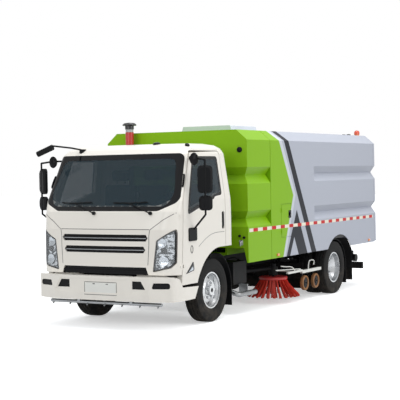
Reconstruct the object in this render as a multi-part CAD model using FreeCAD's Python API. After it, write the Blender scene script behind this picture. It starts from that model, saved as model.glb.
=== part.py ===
import FreeCAD, Part
import math
import os

V = FreeCAD.Vector

# Street sweeper truck, millimetres. X points forward, Y to the driver's left side, Z up.
# The origin is on the ground, midway between the ends and on the centre line.

# Overall layout
LENGTH = 5995.0            # front of the bumper to the back of the tailgate
WHEELBASE = 3360.0
FRONT_OVERHANG = 1050.0
HALF = LENGTH / 2
FRONT_AXLE_X = HALF - FRONT_OVERHANG
REAR_AXLE_X = FRONT_AXLE_X - WHEELBASE

# Wheels
TYRE_R = 375.0
TYRE_W = 190.0
RIM_R = 214.0              # over the rim flanges
BEAD_R = 202.0             # where the tyre sits
FRONT_TYRE_Y = 785.0       # middle of the front tyre
DUAL_INNER_Y = 695.0       # middle of the inner rear tyre
DUAL_PITCH = 215.0         # between the twin tyres' middles
KINGPIN_Y = 668.0
KINGPIN_R = 17.0
RUN_GAP = 6.0              # running clearance between moving pieces
FIT_GAP = 0.05             # a shaft in its own bore
SEAT_GAP = 0.3             # a piece seated on a curved face

# Chassis frame
RAIL_Y = 375.0             # outer face of a side rail
RAIL_FLANGE = 62.0
RAIL_T = 7.0
RAIL_Z0 = 500.0
RAIL_Z1 = 680.0
RAIL_REAR_X = -2740.0
RAIL_FRONT_X = 2780.0

# Cab
CAB_WALL = 55.0
CAB_BOTTOM = 506.0
CAB_FRONT_LOW = 625.0      # lower edge of the front panel, above the bumper
CAB_SILL = 882.0           # lower edge behind the wheel arch
CAB_TOP = 2101.0
GLASS_T = 9.0
CAB_PIVOT_X = 2947.0
CAB_PIVOT_Z = 420.0
CAB_PIVOT_R = 20.0
DOOR_GAP = 8.0
DOOR_HINGE_X = 2726.0
DOOR_HINGE_Y = 927.0
DOOR_HINGE_ZS = (700.0, 1270.0)
HANDLE_Y = 917.0
TUNNEL_Y = 420.0

# Plan sections of the cab: height, front middle, bow of the front, half width of the
# bowed part, depth of the front corner, half width, rear face, rear corner radius
CAB_SECTIONS = [
    (CAB_BOTTOM, 2925, 35, 720, 180, 925, 1525, 60),
    (640, 2928, 35, 720, 180, 932, 1525, 60),
    (1132, 2918, 35, 720, 180, 935, 1525, 60),
    (1330, 2889, 45, 760, 150, 935, 1527, 60),
    (1450, 2828, 60, 850, 90, 932, 1530, 60),
    (1980, 2562, 35, 790, 90, 868, 1560, 70),
    (2040, 2505, 50, 750, 120, 848, 1590, 90),
    (2080, 2420, 50, 690, 130, 798, 1640, 110),
    (CAB_TOP, 2280, 60, 590, 120, 700, 1740, 110),
]
ROOF_FROM = 1900.0         # sections above this one sink with the inset

# Sweeper body
BODY_HALF_W = 1020.0
BODY_SIDE_Z0 = 649.0
BODY_SIDE_Z1 = 2152.0      # where the roof chamfer starts
BODY_TOP = 2279.0
BODY_CHAMFER = 146.0
SECTION_FRONT_X = 1295.0
SECTION_FRONT_Z0 = 825.0   # lower edge of the front face
TANK_FRONT_X = 652.0
TANK_JOINT_GAP = 8.0       # between the fixed front section and the tank
TANK_REAR_TOP_X = -2905.0
TANK_REAR_LOW_X = -2940.0
WALL = 25.0
SKIRT_T = 8.0
SKIRT_IN_Y = BODY_HALF_W - SKIRT_T
TANK_FLOOR_Z = 790.0
GROOVES = [(1612.0, 1718.0, 1817.0), (1087.0, 1186.0, 1278.0)]
GROOVE_DEPTH = 70.0
GROOVE_START_X = -687.0    # on the tank the grooves run from here to the back
ARCH_X = -1560.0
ARCH_Z = 255.0
ARCH_R = 580.0
TAILGATE_T = 55.0

# Towing pin's jaw plate at the back of the frame, and the rear plate's screw holes
JAW_X = -2785.0
JAW_Z = 590.0
JAW_T = 25.0
JAW_R = 16.0
PLATE_Z = 285.0
PLATE_PITCH = 240.0
PLATE_HOLE_R = 3.3

# Tipping gear
TIP_X = -2700.0
TIP_Z = 700.0
TIP_PIN_R = 22.0
EYE_X = -2000.0            # rod eye on the tank
EYE_Z = 735.0
BARREL_X = -1100.0         # barrel eye on the frame
BARREL_Z = 600.0
BARREL_R = 52.0
ROD_R = 30.0
GATE_HINGE_X = -2925.0
GATE_HINGE_Z = 2292.0
GATE_PIN_R = 12.0

# Sweeping gear
BRUSH_X = -180.0
BRUSH_Y = 625.0
BRUSH_TIP_R = 360.0
BRUSH_DISC_R = 175.0
BRUSH_TIP_Z = 75.0
BRUSH_DISC_Z0 = 300.0
BRUSH_DISC_Z1 = 345.0
BRUSH_TUFTS = 22
ARM_PIVOT_X = 400.0
ARM_PIVOT_Y = 438.0
ARM_TILT_DEG = 4.5
ARM_Z = 450.0
CASTER_XS = (-522.0, -872.0)
CASTER_Y = 930.0
CASTER_R = 102.0
CASTER_W = 46.0
CASTER_Z = 233.0
NOZZLE_X0 = -1000.0
NOZZLE_X1 = -572.0
NOZZLE_Z0 = 150.0
NOZZLE_Z1 = 300.0
NOZZLE_HALF_W = 860.0
PIPE_X = -786.0
PIPE_Y = 190.0
PIPE_R = 110.0
POST_X = -645.0
POST_Y = 415.0
POST_R = 14.0
NOZZLE_DROP = 120.0


# Shape helpers

def block(x0, x1, y0, y1, z0, z1):
    return Part.makeBox(x1 - x0, y1 - y0, z1 - z0, V(x0, y0, z0))


def rod(start, end, radius):
    axis = V(*end) - V(*start)
    return Part.makeCylinder(radius, axis.Length, V(*start), axis)


def pipe(start, end, outer, inner):
    return rod(start, end, outer).cut(rod(start, end, inner))


def join(shapes):
    result = shapes[0]
    for shape in shapes[1:]:
        result = result.fuse(shape)
    return result.removeSplitter()


def group(shapes):
    return Part.makeCompound(shapes)


def mirrored(shape):
    return shape.mirror(V(0, 0, 0), V(0, 1, 0))


def both(shape):
    return group([shape, mirrored(shape)])


def rounded_wire(points, place):
    """A closed outline through 2-D points (u, v) or (u, v, radius), with its corners rounded."""
    corners = []
    count = len(points)
    for i, point in enumerate(points):
        here = V(point[0], point[1], 0)
        radius = point[2] if len(point) > 2 else 0.0
        if radius == 0:
            corners.append((here, here, here))
            continue
        before = V(*points[i - 1][:2], 0) - here
        after = V(*points[(i + 1) % count][:2], 0) - here
        before.normalize()
        after.normalize()
        half = before.getAngle(after) / 2
        back = radius / math.tan(half)
        middle = before + after
        middle.normalize()
        depth = radius / math.sin(half) - radius
        corners.append((here + before * back, here + middle * depth, here + after * back))
    edges = []
    for i, (start, middle, end) in enumerate(corners):
        if (end - start).Length > 1e-6:
            edges.append(Part.Arc(place(start), place(middle), place(end)).toShape())
        following = corners[(i + 1) % count][0]
        if (following - end).Length > 1e-6:
            edges.append(Part.LineSegment(place(end), place(following)).toShape())
    return Part.Wire(edges)


def prism_y(points, y0, y1):
    wire = rounded_wire(points, lambda p: V(p.x, y0, p.y))
    return Part.Face(wire).extrude(V(0, y1 - y0, 0))


def prism_x(points, x0, x1):
    wire = rounded_wire(points, lambda p: V(x0, p.x, p.y))
    return Part.Face(wire).extrude(V(x1 - x0, 0, 0))


def prism_z(points, z0, z1):
    wire = rounded_wire(points, lambda p: V(p.x, p.y, z0))
    return Part.Face(wire).extrude(V(0, 0, z1 - z0))


def turned(profile, x, z, flip=1):
    """A solid of revolution about a line along Y through (x, z): profile holds (radius, y)."""
    points = [V(x + r, flip * y, z) for r, y in profile]
    wire = Part.makePolygon(points + [points[0]])
    return Part.Face(wire).revolve(V(x, 0, z), V(0, 1, 0), 360)


def turned_z(profile, x, y):
    """A solid of revolution about a vertical line: profile holds (radius, z)."""
    points = [V(x + r, y, z) for r, z in profile]
    wire = Part.makePolygon(points + [points[0]])
    return Part.Face(wire).revolve(V(x, y, 0), V(0, 0, 1), 360)


def bent_tube(points, radius, bend):
    """A round bar along straight runs joined by tangent arcs."""
    corners = [V(*p) for p in points]
    edges = []
    start = corners[0]
    for i in range(1, len(corners) - 1):
        here = corners[i]
        before = corners[i - 1] - here
        after = corners[i + 1] - here
        before.normalize()
        after.normalize()
        half = before.getAngle(after) / 2
        back = bend / math.tan(half)
        middle = before + after
        middle.normalize()
        depth = bend / math.sin(half) - bend
        arc_start = here + before * back
        arc_end = here + after * back
        edges.append(Part.LineSegment(start, arc_start).toShape())
        edges.append(Part.Arc(arc_start, here + middle * depth, arc_end).toShape())
        start = arc_end
    edges.append(Part.LineSegment(start, corners[-1]).toShape())
    path = Part.Wire(edges)
    circle = Part.Wire(Part.makeCircle(radius, corners[0], corners[1] - corners[0]))
    return path.makePipeShell([circle], True, True)


# Cab

def cab_section(section, inset):
    z, front, bow, bow_y, corner, half_w, rear, rear_r = section
    if z > ROOF_FROM:
        z -= inset
    if z <= CAB_BOTTOM:
        z -= inset
    front -= inset
    half_w -= inset
    rear += inset
    bow_y -= inset * 0.6
    bow_x = front - bow
    side_x = bow_x - corner
    mid = (side_x + corner * 0.72, bow_y + (half_w - bow_y) * 0.72)
    turn = rear_r * (1 - math.sqrt(0.5))

    def at(x, y):
        return V(x, y, z)

    edges = [
        Part.Arc(at(bow_x, -bow_y), at(front, 0), at(bow_x, bow_y)).toShape(),
        Part.Arc(at(bow_x, bow_y), at(mid[0], mid[1]), at(side_x, half_w)).toShape(),
        Part.LineSegment(at(side_x, half_w), at(rear + rear_r, half_w)).toShape(),
        Part.Arc(at(rear + rear_r, half_w), at(rear + turn, half_w - turn),
                 at(rear, half_w - rear_r)).toShape(),
        Part.LineSegment(at(rear, half_w - rear_r), at(rear, rear_r - half_w)).toShape(),
        Part.Arc(at(rear, rear_r - half_w), at(rear + turn, turn - half_w),
                 at(rear + rear_r, -half_w)).toShape(),
        Part.LineSegment(at(rear + rear_r, -half_w), at(side_x, -half_w)).toShape(),
        Part.Arc(at(side_x, -half_w), at(mid[0], -mid[1]), at(bow_x, -bow_y)).toShape(),
    ]
    return Part.Wire(edges)


def cab_loft(inset):
    wires = [cab_section(section, inset) for section in CAB_SECTIONS]
    return Part.makeLoft(wires, True, True)


CAB_OUTER = cab_loft(0)
CAB_INNER = cab_loft(CAB_WALL)
CAB_GLASS_BACK = cab_loft(GLASS_T)
CAB_RING = CAB_OUTER.cut(CAB_INNER)
CAB_SKIN = CAB_OUTER.cut(CAB_GLASS_BACK)

def seat_cut(x, y, z):
    """The cab's outer form, moved out along a direction by the gap of a seated piece."""
    form = CAB_OUTER.copy()
    form.translate(V(x, y, z) * SEAT_GAP)
    return form


def skin_x(y, z):
    """The cab's outer face on a line along X."""
    line = Part.makeLine(V(2000, y, z), V(3100, y, z))
    return CAB_OUTER.common(line).BoundBox.XMax


def skin_y(x, z):
    """The cab's outer face on a line along Y, on the left side."""
    line = Part.makeLine(V(x, 500, z), V(x, 1100, z))
    return CAB_OUTER.common(line).BoundBox.YMax


# The wheel arch's edge in side view, from the door's lower front end up and back
ARCH_START = (2385.0, 515.0)
ARCH_MIDDLE = (2192.0, 762.0)
ARCH_END = (1800.0, CAB_SILL)


def arch_cut(offset, y0, y1):
    """The space under the cab's side, grown upwards by an offset."""
    start = V(ARCH_START[0] + offset, y0, ARCH_START[1])
    middle = V(ARCH_MIDDLE[0] + offset * 0.7, y0, ARCH_MIDDLE[1] + offset * 0.7)
    end = V(ARCH_END[0], y0, ARCH_END[1] + offset)
    low = CAB_BOTTOM - 200
    back = 1400.0
    edges = [
        Part.Arc(start, middle, end).toShape(),
        Part.LineSegment(end, V(back, y0, end.z)).toShape(),
        Part.LineSegment(V(back, y0, end.z), V(back, y0, low)).toShape(),
        Part.LineSegment(V(back, y0, low), V(start.x, y0, low)).toShape(),
        Part.LineSegment(V(start.x, y0, low), start).toShape(),
    ]
    return Part.Face(Part.Wire(edges)).extrude(V(0, y1 - y0, 0))


DOOR_REAR_X = 1717.0
DOOR_FRONT_LOW = (2734.0, CAB_BOTTOM)
DOOR_FRONT_BELT = (2690.0, 1440.0)
DOOR_FRONT_TOP = (2432.0, 2008.0)
DOOR_REAR_TOP = (DOOR_REAR_X + 18, 2008.0)


def door_outline(gap):
    return [
        (DOOR_FRONT_LOW[0] + gap, DOOR_FRONT_LOW[1] - 60),
        (DOOR_FRONT_LOW[0] + gap, DOOR_FRONT_LOW[1]),
        (DOOR_FRONT_BELT[0] + gap, DOOR_FRONT_BELT[1]),
        (DOOR_FRONT_TOP[0] + gap, DOOR_FRONT_TOP[1] + gap, 70),
        (DOOR_REAR_TOP[0] - gap, DOOR_REAR_TOP[1] + gap, 50),
        (DOOR_REAR_X - gap, DOOR_FRONT_BELT[1]),
        (DOOR_REAR_X - gap, DOOR_FRONT_LOW[1] - 60),
    ]


DOOR_WINDOW = [
    (2600, 1285, 30), (2572, 1450, 60), (2375, 1950, 45), (1795, 1950, 45),
    (1778, 1495, 40), (1950, 1478, 60), (1985, 1450, 60),
]
WINDSCREEN = [
    (-690, 1338, 120), (690, 1338, 120), (921, 1440, 90), (853, 1985, 70),
    (-853, 1985, 70), (-921, 1440, 90),
]
WINDSCREEN_OPENING = [
    (-680, 1400, 110), (680, 1400, 110), (850, 1480, 60), (795, 1925, 70),
    (-795, 1925, 70), (-850, 1480, 60),
]
REAR_WINDOW = [(-560, 1500, 60), (560, 1500, 60), (560, 1880, 60), (-560, 1880, 60)]
REAR_OPENING = [(-530, 1530, 50), (530, 1530, 50), (530, 1850, 50), (-530, 1850, 50)]
HEADLAMP = [
    (645, 655, 12), (690, 1010, 25), (760, 1052, 10), (905, 1140, 8), (912, 1090, 8),
    (906, 760, 45), (860, 705, 40),
]
WINDSCREEN_X0 = 2380.0
FRONT_X1 = 3000.0


def floor_side(y0, y1):
    upper = arch_cut(42, y0, y1)
    lower = arch_cut(4, y0, y1)
    keep = block(1500, ARCH_START[0] + 42, y0, y1, 560, 1000)
    riser = upper.cut(lower).common(keep)
    tread = prism_y([(ARCH_START[0] + 4, 560), (2800, 560), (2895, 655), (2870, 672),
                     (2788, 592), (ARCH_START[0] + 4, 592)], y0, y1)
    return join([riser, tread])


def cab_floor():
    inside = cab_loft(CAB_WALL + DOOR_GAP)
    side = floor_side(TUNNEL_Y, 1000)
    tunnel = prism_y([(1540, 886), (2250, 886), (2250, 700), (2900, 700), (2900, 730),
                      (2282, 730), (2282, 924), (1540, 924)], -TUNNEL_Y, TUNNEL_Y)
    wall = prism_y([(2250, 700), (2392, 560), (2795, 560), (2890, 650), (2890, 730),
                    (2282, 730), (2282, 924), (2250, 924)], TUNNEL_Y - 18, TUNNEL_Y + 2)
    floor = join([side, mirrored(side), tunnel, wall, mirrored(wall)])
    wide = floor.common(inside)
    rear_strip = floor.common(block(1540, 1700, -870, 870, 860, 1000))
    front_strip = floor.common(block(2745, 2900, -700, 700, 640, 760))
    rear_side = floor.common(block(1540, DOOR_REAR_X - DOOR_GAP, -900, 900, 860, 1000))
    return join([wide, rear_strip, front_strip, rear_side.common(CAB_OUTER)])


def cab_arm():
    """One of the two hinge arms that carry the cab's floor from the tilt tube."""
    y0, y1 = 386, TUNNEL_Y - 4
    eye = rod((CAB_PIVOT_X, y0, CAB_PIVOT_Z), (CAB_PIVOT_X, y1, CAB_PIVOT_Z), 35)
    arm = prism_y([(CAB_PIVOT_X - 30, CAB_PIVOT_Z - 12), (CAB_PIVOT_X + 20, CAB_PIVOT_Z + 27),
                   (2832, 562, 20), (2795, 700), (2690, 700), (2740, 590, 30)], y0, y1).fuse(eye)
    bore = rod((CAB_PIVOT_X, 380, CAB_PIVOT_Z), (CAB_PIVOT_X, 440, CAB_PIVOT_Z), CAB_PIVOT_R + FIT_GAP)
    return arm.cut(bore)


def door_hinge_leaves():
    """Hinge leaves and pins on the corner panel."""
    pieces = []
    for z in DOOR_HINGE_ZS:
        leaf = block(DOOR_HINGE_X - 7, DOOR_HINGE_X + 40, DOOR_HINGE_Y - 26, DOOR_HINGE_Y + 3, z, z + 30)
        pieces.append(leaf)
        pieces.append(rod((DOOR_HINGE_X, DOOR_HINGE_Y, z - 24), (DOOR_HINGE_X, DOOR_HINGE_Y, z + 54), 5))
    return join(pieces[:2]), join(pieces[2:])


def cab_shell():
    shell = CAB_RING.cut(CAB_SKIN.common(prism_x(WINDSCREEN, WINDSCREEN_X0, FRONT_X1)))
    shell = shell.cut(prism_x(WINDSCREEN_OPENING, WINDSCREEN_X0, FRONT_X1))
    shell = shell.cut(CAB_SKIN.common(prism_x(REAR_WINDOW, 1500, 1700)))
    shell = shell.cut(prism_x(REAR_OPENING, 1500, 1700))
    shell = shell.cut(arch_cut(0, -1000, 1000))
    shell = shell.cut(block(ARCH_START[0], FRONT_X1, -1000, 1000, CAB_BOTTOM - 120, CAB_FRONT_LOW))
    opening = prism_y(door_outline(DOOR_GAP), 600, 1000)
    shell = shell.cut(opening).cut(mirrored(opening))
    leaves = list(door_hinge_leaves())
    shell = join([shell, cab_floor()] + leaves + [mirrored(leaf) for leaf in leaves])
    lamp = headlamp_volume()
    for pocket in [lamp, mirrored(lamp)] + grille_slots(0):
        shell = shell.cut(pocket)
    arm = cab_arm().cut(shell)
    return group([shell, arm, mirrored(arm)])


HEADLAMP_DEPTH = 40.0


def headlamp_volume():
    ring = CAB_OUTER.cut(cab_loft(HEADLAMP_DEPTH))
    return ring.common(prism_x(HEADLAMP, 2752, FRONT_X1))


SLOT_UPPER = [(-560, 1000), (560, 1000), (585, 1037), (560, 1075), (-560, 1075), (-585, 1037)]
SLOT_LOWER = [(-530, 868), (530, 868), (555, 905), (530, 943), (-530, 943), (-555, 905)]
SLOT_BOTTOM = [(-594, CAB_FRONT_LOW - 5), (594, CAB_FRONT_LOW - 5), (560, 710), (-560, 710)]
SLOT_DEPTH = 30.0


def grille_slots(back):
    """The slots of the front panel, as the space from its skin to a depth."""
    ring = CAB_OUTER.cut(cab_loft(SLOT_DEPTH + back))
    return [ring.common(prism_x(outline, 2800, FRONT_X1))
            for outline in (SLOT_UPPER, SLOT_LOWER, SLOT_BOTTOM)]


def grille():
    """Dark inserts at the slots' floor, each with a bar along its middle."""
    shallow = cab_loft(SLOT_DEPTH - 12)
    pieces = []
    for slot, bar_z in zip(grille_slots(0), (1037, 905, 668)):
        back = slot.common(shallow)
        bar = slot.common(block(2800, FRONT_X1, -600, 600, bar_z - 7, bar_z + 7))
        pieces.append(join([back, bar]))
    low = block(2700, FRONT_X1, -700, 700, 500, CAB_FRONT_LOW + 0.5)
    return group([piece.cut(low) for piece in pieces])


def headlamps():
    return both(headlamp_volume())


def cab_glass():
    front = CAB_SKIN.common(prism_x(WINDSCREEN, WINDSCREEN_X0, FRONT_X1))
    rear = CAB_SKIN.common(prism_x(REAR_WINDOW, 1500, 1700))
    return group([front, rear])


DOOR_OPENING = [(2558, 1345, 20), (2535, 1470, 50), (2348, 1918, 35), (1825, 1918, 35),
                (1810, 1528, 35), (1975, 1512, 60), (2010, 1484, 60)]


def door(side):
    def here(shape):
        return shape if side > 0 else mirrored(shape)

    panel = CAB_RING.common(here(prism_y(door_outline(0), 600, 1000)))
    panel = panel.cut(here(arch_cut(0, 500, 1000)))
    panel = panel.cut(here(block(1500, FRONT_X1, 500, 1000, CAB_BOTTOM - 120, CAB_BOTTOM)))
    panel = panel.cut(door_glass(side))
    panel = panel.cut(here(prism_y(DOOR_OPENING, 600, 1000)))
    handle = prism_y([(1742, 1090, 20), (1802, 1090, 20), (1802, 1296, 20), (1742, 1296, 20)],
                     HANDLE_Y, 1000)
    grip = prism_y([(1760, 1120, 10), (1784, 1120, 10), (1784, 1270, 10), (1760, 1270, 10)],
                   HANDLE_Y, 934)
    panel = panel.cut(here(handle)).fuse(here(grip))
    for z in DOOR_HINGE_ZS:
        pocket = block(DOOR_HINGE_X - 26, DOOR_HINGE_X + 40, DOOR_HINGE_Y - 45, 1000, z - 5, z + 35)
        bore = rod((DOOR_HINGE_X, DOOR_HINGE_Y, z - 25), (DOOR_HINGE_X, DOOR_HINGE_Y, z + 55), 5 + FIT_GAP)
        panel = panel.cut(here(pocket)).cut(here(bore))
    return panel


def door_glass(side):
    window = prism_y(DOOR_WINDOW, 600, 1000)
    return CAB_SKIN.common(window if side > 0 else mirrored(window))


MIRROR_X = 2553.0          # the upright bar of an outside mirror
MIRROR_Y = 1140.0
MIRROR_HEADS = [           # low edge, high edge, width, depth, turn about the bar in degrees
    (1530.0, 1840.0, 170.0, 50.0, 30.0),
    (1335.0, 1500.0, 150.0, 46.0, 20.0),
]


def run(points, radius):
    """A bar along straight runs with round elbows."""
    parts = [rod(a, b, radius) for a, b in zip(points, points[1:])]
    parts += [Part.makeSphere(radius, V(*p)) for p in points[1:-1]]
    return join(parts)


def mirror_head(low, high, width, depth, turn):
    """A rounded mirror housing behind the bar, with a narrower back and its glass turned in."""
    def outline(x, inset):
        half = width / 2 - inset
        corner = width * 0.28
        points = [(-half, low + inset, corner), (half, low + inset, corner),
                  (half, high - inset, corner), (-half, high - inset, corner)]
        return rounded_wire(points, lambda p: V(x, p.x, p.y))

    back = -18 + depth / 2
    sections = [outline(back - depth, 0), outline(back - depth * 0.4, 0), outline(back, width * 0.14)]
    head = Part.makeLoft(sections, True, True)
    head.rotate(V(0, 0, 0), V(0, 0, 1), turn)
    head.translate(V(MIRROR_X, MIRROR_Y, 0))
    return head


def mirror(side):
    """Two toed-in heads on one bar, from the window's frame down to a pad on the door."""
    heads = [mirror_head(*head) for head in MIRROR_HEADS]
    upper = (2425, 880, 1925)
    lower = (2470, 938, 1120)
    arm = run([upper, (2500, 1000, 1925), (MIRROR_X, MIRROR_Y, 1905), (MIRROR_X, MIRROR_Y, 1290), lower], 11)
    upper_pad = rod((2425, 850, 1925), (2425, 884, 1925), 22)
    pad = prism_y([(2410, 990, 18), (2590, 990, 18), (2590, 1140, 18), (2410, 1140, 18)], 915, 945)
    body = join(heads + [arm, upper_pad, pad]).cut(seat_cut(0, 1, 0))
    body = max(body.Solids, key=lambda solid: solid.Volume)
    return body if side > 0 else mirrored(body)


# Seats, dash and wheel

SEAT_PLACES = [(560, 250), (-60, 228), (-545, 240)]      # middle and half width of each place


def seats():
    """Driver's seat, then a double seat: cushion, back and headrest of each place."""
    pieces = []
    for middle, half in SEAT_PLACES:
        y0, y1 = middle - half, middle + half
        pieces.append(prism_y([(1812, 985, 20), (2280, 1000, 45), (2280, 1105, 45), (1812, 1080, 20)],
                              y0, y1))
        pieces.append(prism_y([(1712, 950, 25), (1811.5, 950, 10), (1811.5, 1080, 200), (1762, 1640, 45),
                               (1660, 1640, 45)], y0, y1))
        pieces.append(prism_y([(1665, 1668, 30), (1758, 1668, 30), (1745, 1810, 35), (1658, 1810, 35)],
                              middle - 130, middle + 130))
    return group(pieces)


def seat_frames():
    """Bases under the cushions, down to the floor and the wheel arches, and the headrests' posts."""
    arch = arch_cut(42.3, TUNNEL_Y, 1000)
    centre = block(1500, 2300, -TUNNEL_Y - 2.3, TUNNEL_Y + 2.3, 500, 924.3)
    pieces = []
    for middle, half in SEAT_PLACES:
        base = prism_y([(1716, 780), (2190, 780), (2200, 984.7), (1814, 984.7), (1811, 949.7),
                        (1716, 949.7)], middle - half + 40, middle + half - 40)
        pieces.append(base.cut(centre).cut(arch).cut(mirrored(arch)))
        for y in (middle - 60, middle + 60):
            pieces.append(rod((1711, y, 1640.3), (1711, y, 1667.7), 7))
    return group(pieces)


def dash():
    profile = [(2900, 1010), (2900, 1330), (2790, 1352, 30), (2700, 1372, 30),
               (2560, 1330, 40), (2520, 1220, 40), (2620, 1010, 40)]
    board = prism_y(profile, -820, 820).common(cab_loft(CAB_WALL + 0.3))
    column = rod((2600, 560, 1180), (2380, 560, 1290), 26)
    centre = V(2372, 560, 1294)
    direction = V(-220, 0, 110)
    direction.normalize()
    rim = Part.makeTorus(205, 15, centre, direction)
    hub = Part.makeCylinder(45, 34, centre - direction * 26, direction)
    across = V(0, 1, 0)
    up = direction.cross(across)
    spokes = []
    for angle in (0, 120, 240):
        a = math.radians(angle + 90)
        end = centre + across * (200 * math.cos(a)) + up * (200 * math.sin(a))
        spokes.append(rod(tuple(centre), tuple(end), 11))
    return join([board, column, hub, rim] + spokes)


def wiper(y):
    def over(py, z, off):
        return (skin_x(py, z) + off, py, z)

    foot = rod(over(y, 1316, 0.5), over(y, 1316, 24), 20)
    arm = run([over(y, 1316, 22), over(y - 60, 1342, 26), over(y - 300, 1428, 24)], 7)
    blade = run([over(y - 60, 1438, 15), over(y - 300, 1428, 15), over(y - 500, 1433, 16)], 8)
    return join([foot, arm, blade]).cut(seat_cut(1, 0, 0))


def wipers():
    return group([wiper(-137), wiper(610)])


def front_mirror():
    """A curved arm from the roof's front edge with a long mirror over the corner."""
    foot = rod((2470, -580, 1990), (2470, -580, 2062), 40)
    arm = bent_tube([(2475, -580, 2052), (2600, -650, 2078), (2760, -800, 2105), (2790, -850, 2085)], 10, 40)
    head = rod((2770, -800, 2090), (2800, -1000, 2010), 34)
    return join([foot, arm, head]).cut(seat_cut(0, 0, 1))


# Chassis

def rail():
    web = block(RAIL_REAR_X, RAIL_FRONT_X, RAIL_Y - RAIL_T, RAIL_Y, RAIL_Z0, RAIL_Z1)
    top = block(RAIL_REAR_X, RAIL_FRONT_X, RAIL_Y - RAIL_FLANGE, RAIL_Y, RAIL_Z1 - RAIL_T, RAIL_Z1)
    low = block(RAIL_REAR_X, RAIL_FRONT_X, RAIL_Y - RAIL_FLANGE, RAIL_Y, RAIL_Z0, RAIL_Z0 + RAIL_T)
    return join([web, top, low])


def frame():
    side = rail()
    horn = prism_y([(RAIL_FRONT_X - 120, RAIL_Z0), (RAIL_FRONT_X, RAIL_Z1 - 60), (RAIL_FRONT_X, 560),
                    (CAB_PIVOT_X + 5, 452), (CAB_PIVOT_X + 5, 385), (2860, 385)],
                   RAIL_Y - 30, RAIL_Y)
    bore = rod((CAB_PIVOT_X, -500, CAB_PIVOT_Z), (CAB_PIVOT_X, 500, CAB_PIVOT_Z), CAB_PIVOT_R)
    crosses = []
    for x in (RAIL_REAR_X + 60, -2250, -560, 120, 1420, 2640):
        crosses.append(block(x - 40, x + 40, -RAIL_Y + 3, RAIL_Y - 3, RAIL_Z0 + 85, RAIL_Z1 - 25))
    for y in (-345, 345):
        crosses.append(block(1560, 1620, y - 28, y + 28, RAIL_Z1 - 1, CAB_SILL - SEAT_GAP))
    tube = rod((CAB_PIVOT_X, -438, CAB_PIVOT_Z), (CAB_PIVOT_X, 438, CAB_PIVOT_Z), CAB_PIVOT_R)
    ears = []
    for y in (-60, 42):
        ears.append(prism_y([(BARREL_X - 45, RAIL_Z0 + 30), (BARREL_X + 110, RAIL_Z0 + 30),
                             (BARREL_X + 110, RAIL_Z0 + 90), (BARREL_X + 30, BARREL_Z + 35, 20),
                             (BARREL_X - 40, BARREL_Z + 35, 20)], y, y + 18))
    carrier = block(BARREL_X + 70, BARREL_X + 130, -RAIL_Y + 3, RAIL_Y - 3, RAIL_Z0 + 20, RAIL_Z0 + 90)
    barrel_pin = rod((BARREL_X, -60, BARREL_Z), (BARREL_X, 60, BARREL_Z), 20)
    tip_ear = prism_y([(TIP_X - 38, RAIL_Z1 - 60), (TIP_X + 60, RAIL_Z1 - 60), (TIP_X + 60, RAIL_Z1),
                       (TIP_X + 38, TIP_Z + 38, 30), (TIP_X - 38, TIP_Z + 38, 30)], RAIL_Y, RAIL_Y + 24)
    tip_pin = rod((TIP_X, RAIL_Y, TIP_Z), (TIP_X, RAIL_Y + 70, TIP_Z), TIP_PIN_R)
    guide = block(POST_X - 30, POST_X + 30, RAIL_Y - 1, POST_Y + 30, 520, 560)
    guide = guide.cut(rod((POST_X, POST_Y, 500), (POST_X, POST_Y, 600), POST_R + FIT_GAP))
    jaw = block(JAW_X - 25, RAIL_REAR_X + 30, -60, 60, JAW_Z, JAW_Z + JAW_T)
    jaw = jaw.cut(rod((JAW_X, 0, JAW_Z - 5), (JAW_X, 0, JAW_Z + JAW_T + 5), JAW_R))
    crosses.append(jaw)
    half = [side, horn, tip_ear, tip_pin, guide]
    parts = half + [mirrored(s) for s in half] + crosses + ears + [carrier, tube, barrel_pin]
    return join(parts)


def spring_pack(x, length, y, z_mid, leaves):
    """A pack of bowed leaves, each shorter than the one above, with its eyes and clamp."""
    pieces = []
    bow = 60.0
    for i in range(leaves):
        span = length * (1 - 0.16 * i)
        t = 11.0
        drop = z_mid - i * t
        rise = bow * (span / length) ** 2
        top = Part.Arc(V(x - span / 2, y - 35, drop + rise), V(x, y - 35, drop),
                       V(x + span / 2, y - 35, drop + rise)).toShape()
        low = Part.Arc(V(x - span / 2, y - 35, drop + rise - t), V(x, y - 35, drop - t),
                       V(x + span / 2, y - 35, drop + rise - t)).toShape()
        ends = [Part.LineSegment(top.Vertexes[i2].Point, low.Vertexes[i2].Point).toShape() for i2 in (0, 1)]
        wire = Part.Wire(Part.__sortEdges__([top, ends[0], low, ends[1]]))
        pieces.append(Part.Face(wire).extrude(V(0, 70, 0)))
    for end in (-1, 1):
        cx = x + end * (length / 2 + 14)
        eye = rod((cx, y - 35, z_mid + bow), (cx, y + 35, z_mid + bow), 24)
        pieces.append(eye)
    clamp = block(x - 70, x + 70, y - 44, y + 44, z_mid - leaves * 11.0, z_mid + 24)
    return join(pieces + [clamp])


FRONT_SPRING_Y = 425.0
REAR_SPRING_Y = 425.0
AXLE_Z = TYRE_R


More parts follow.
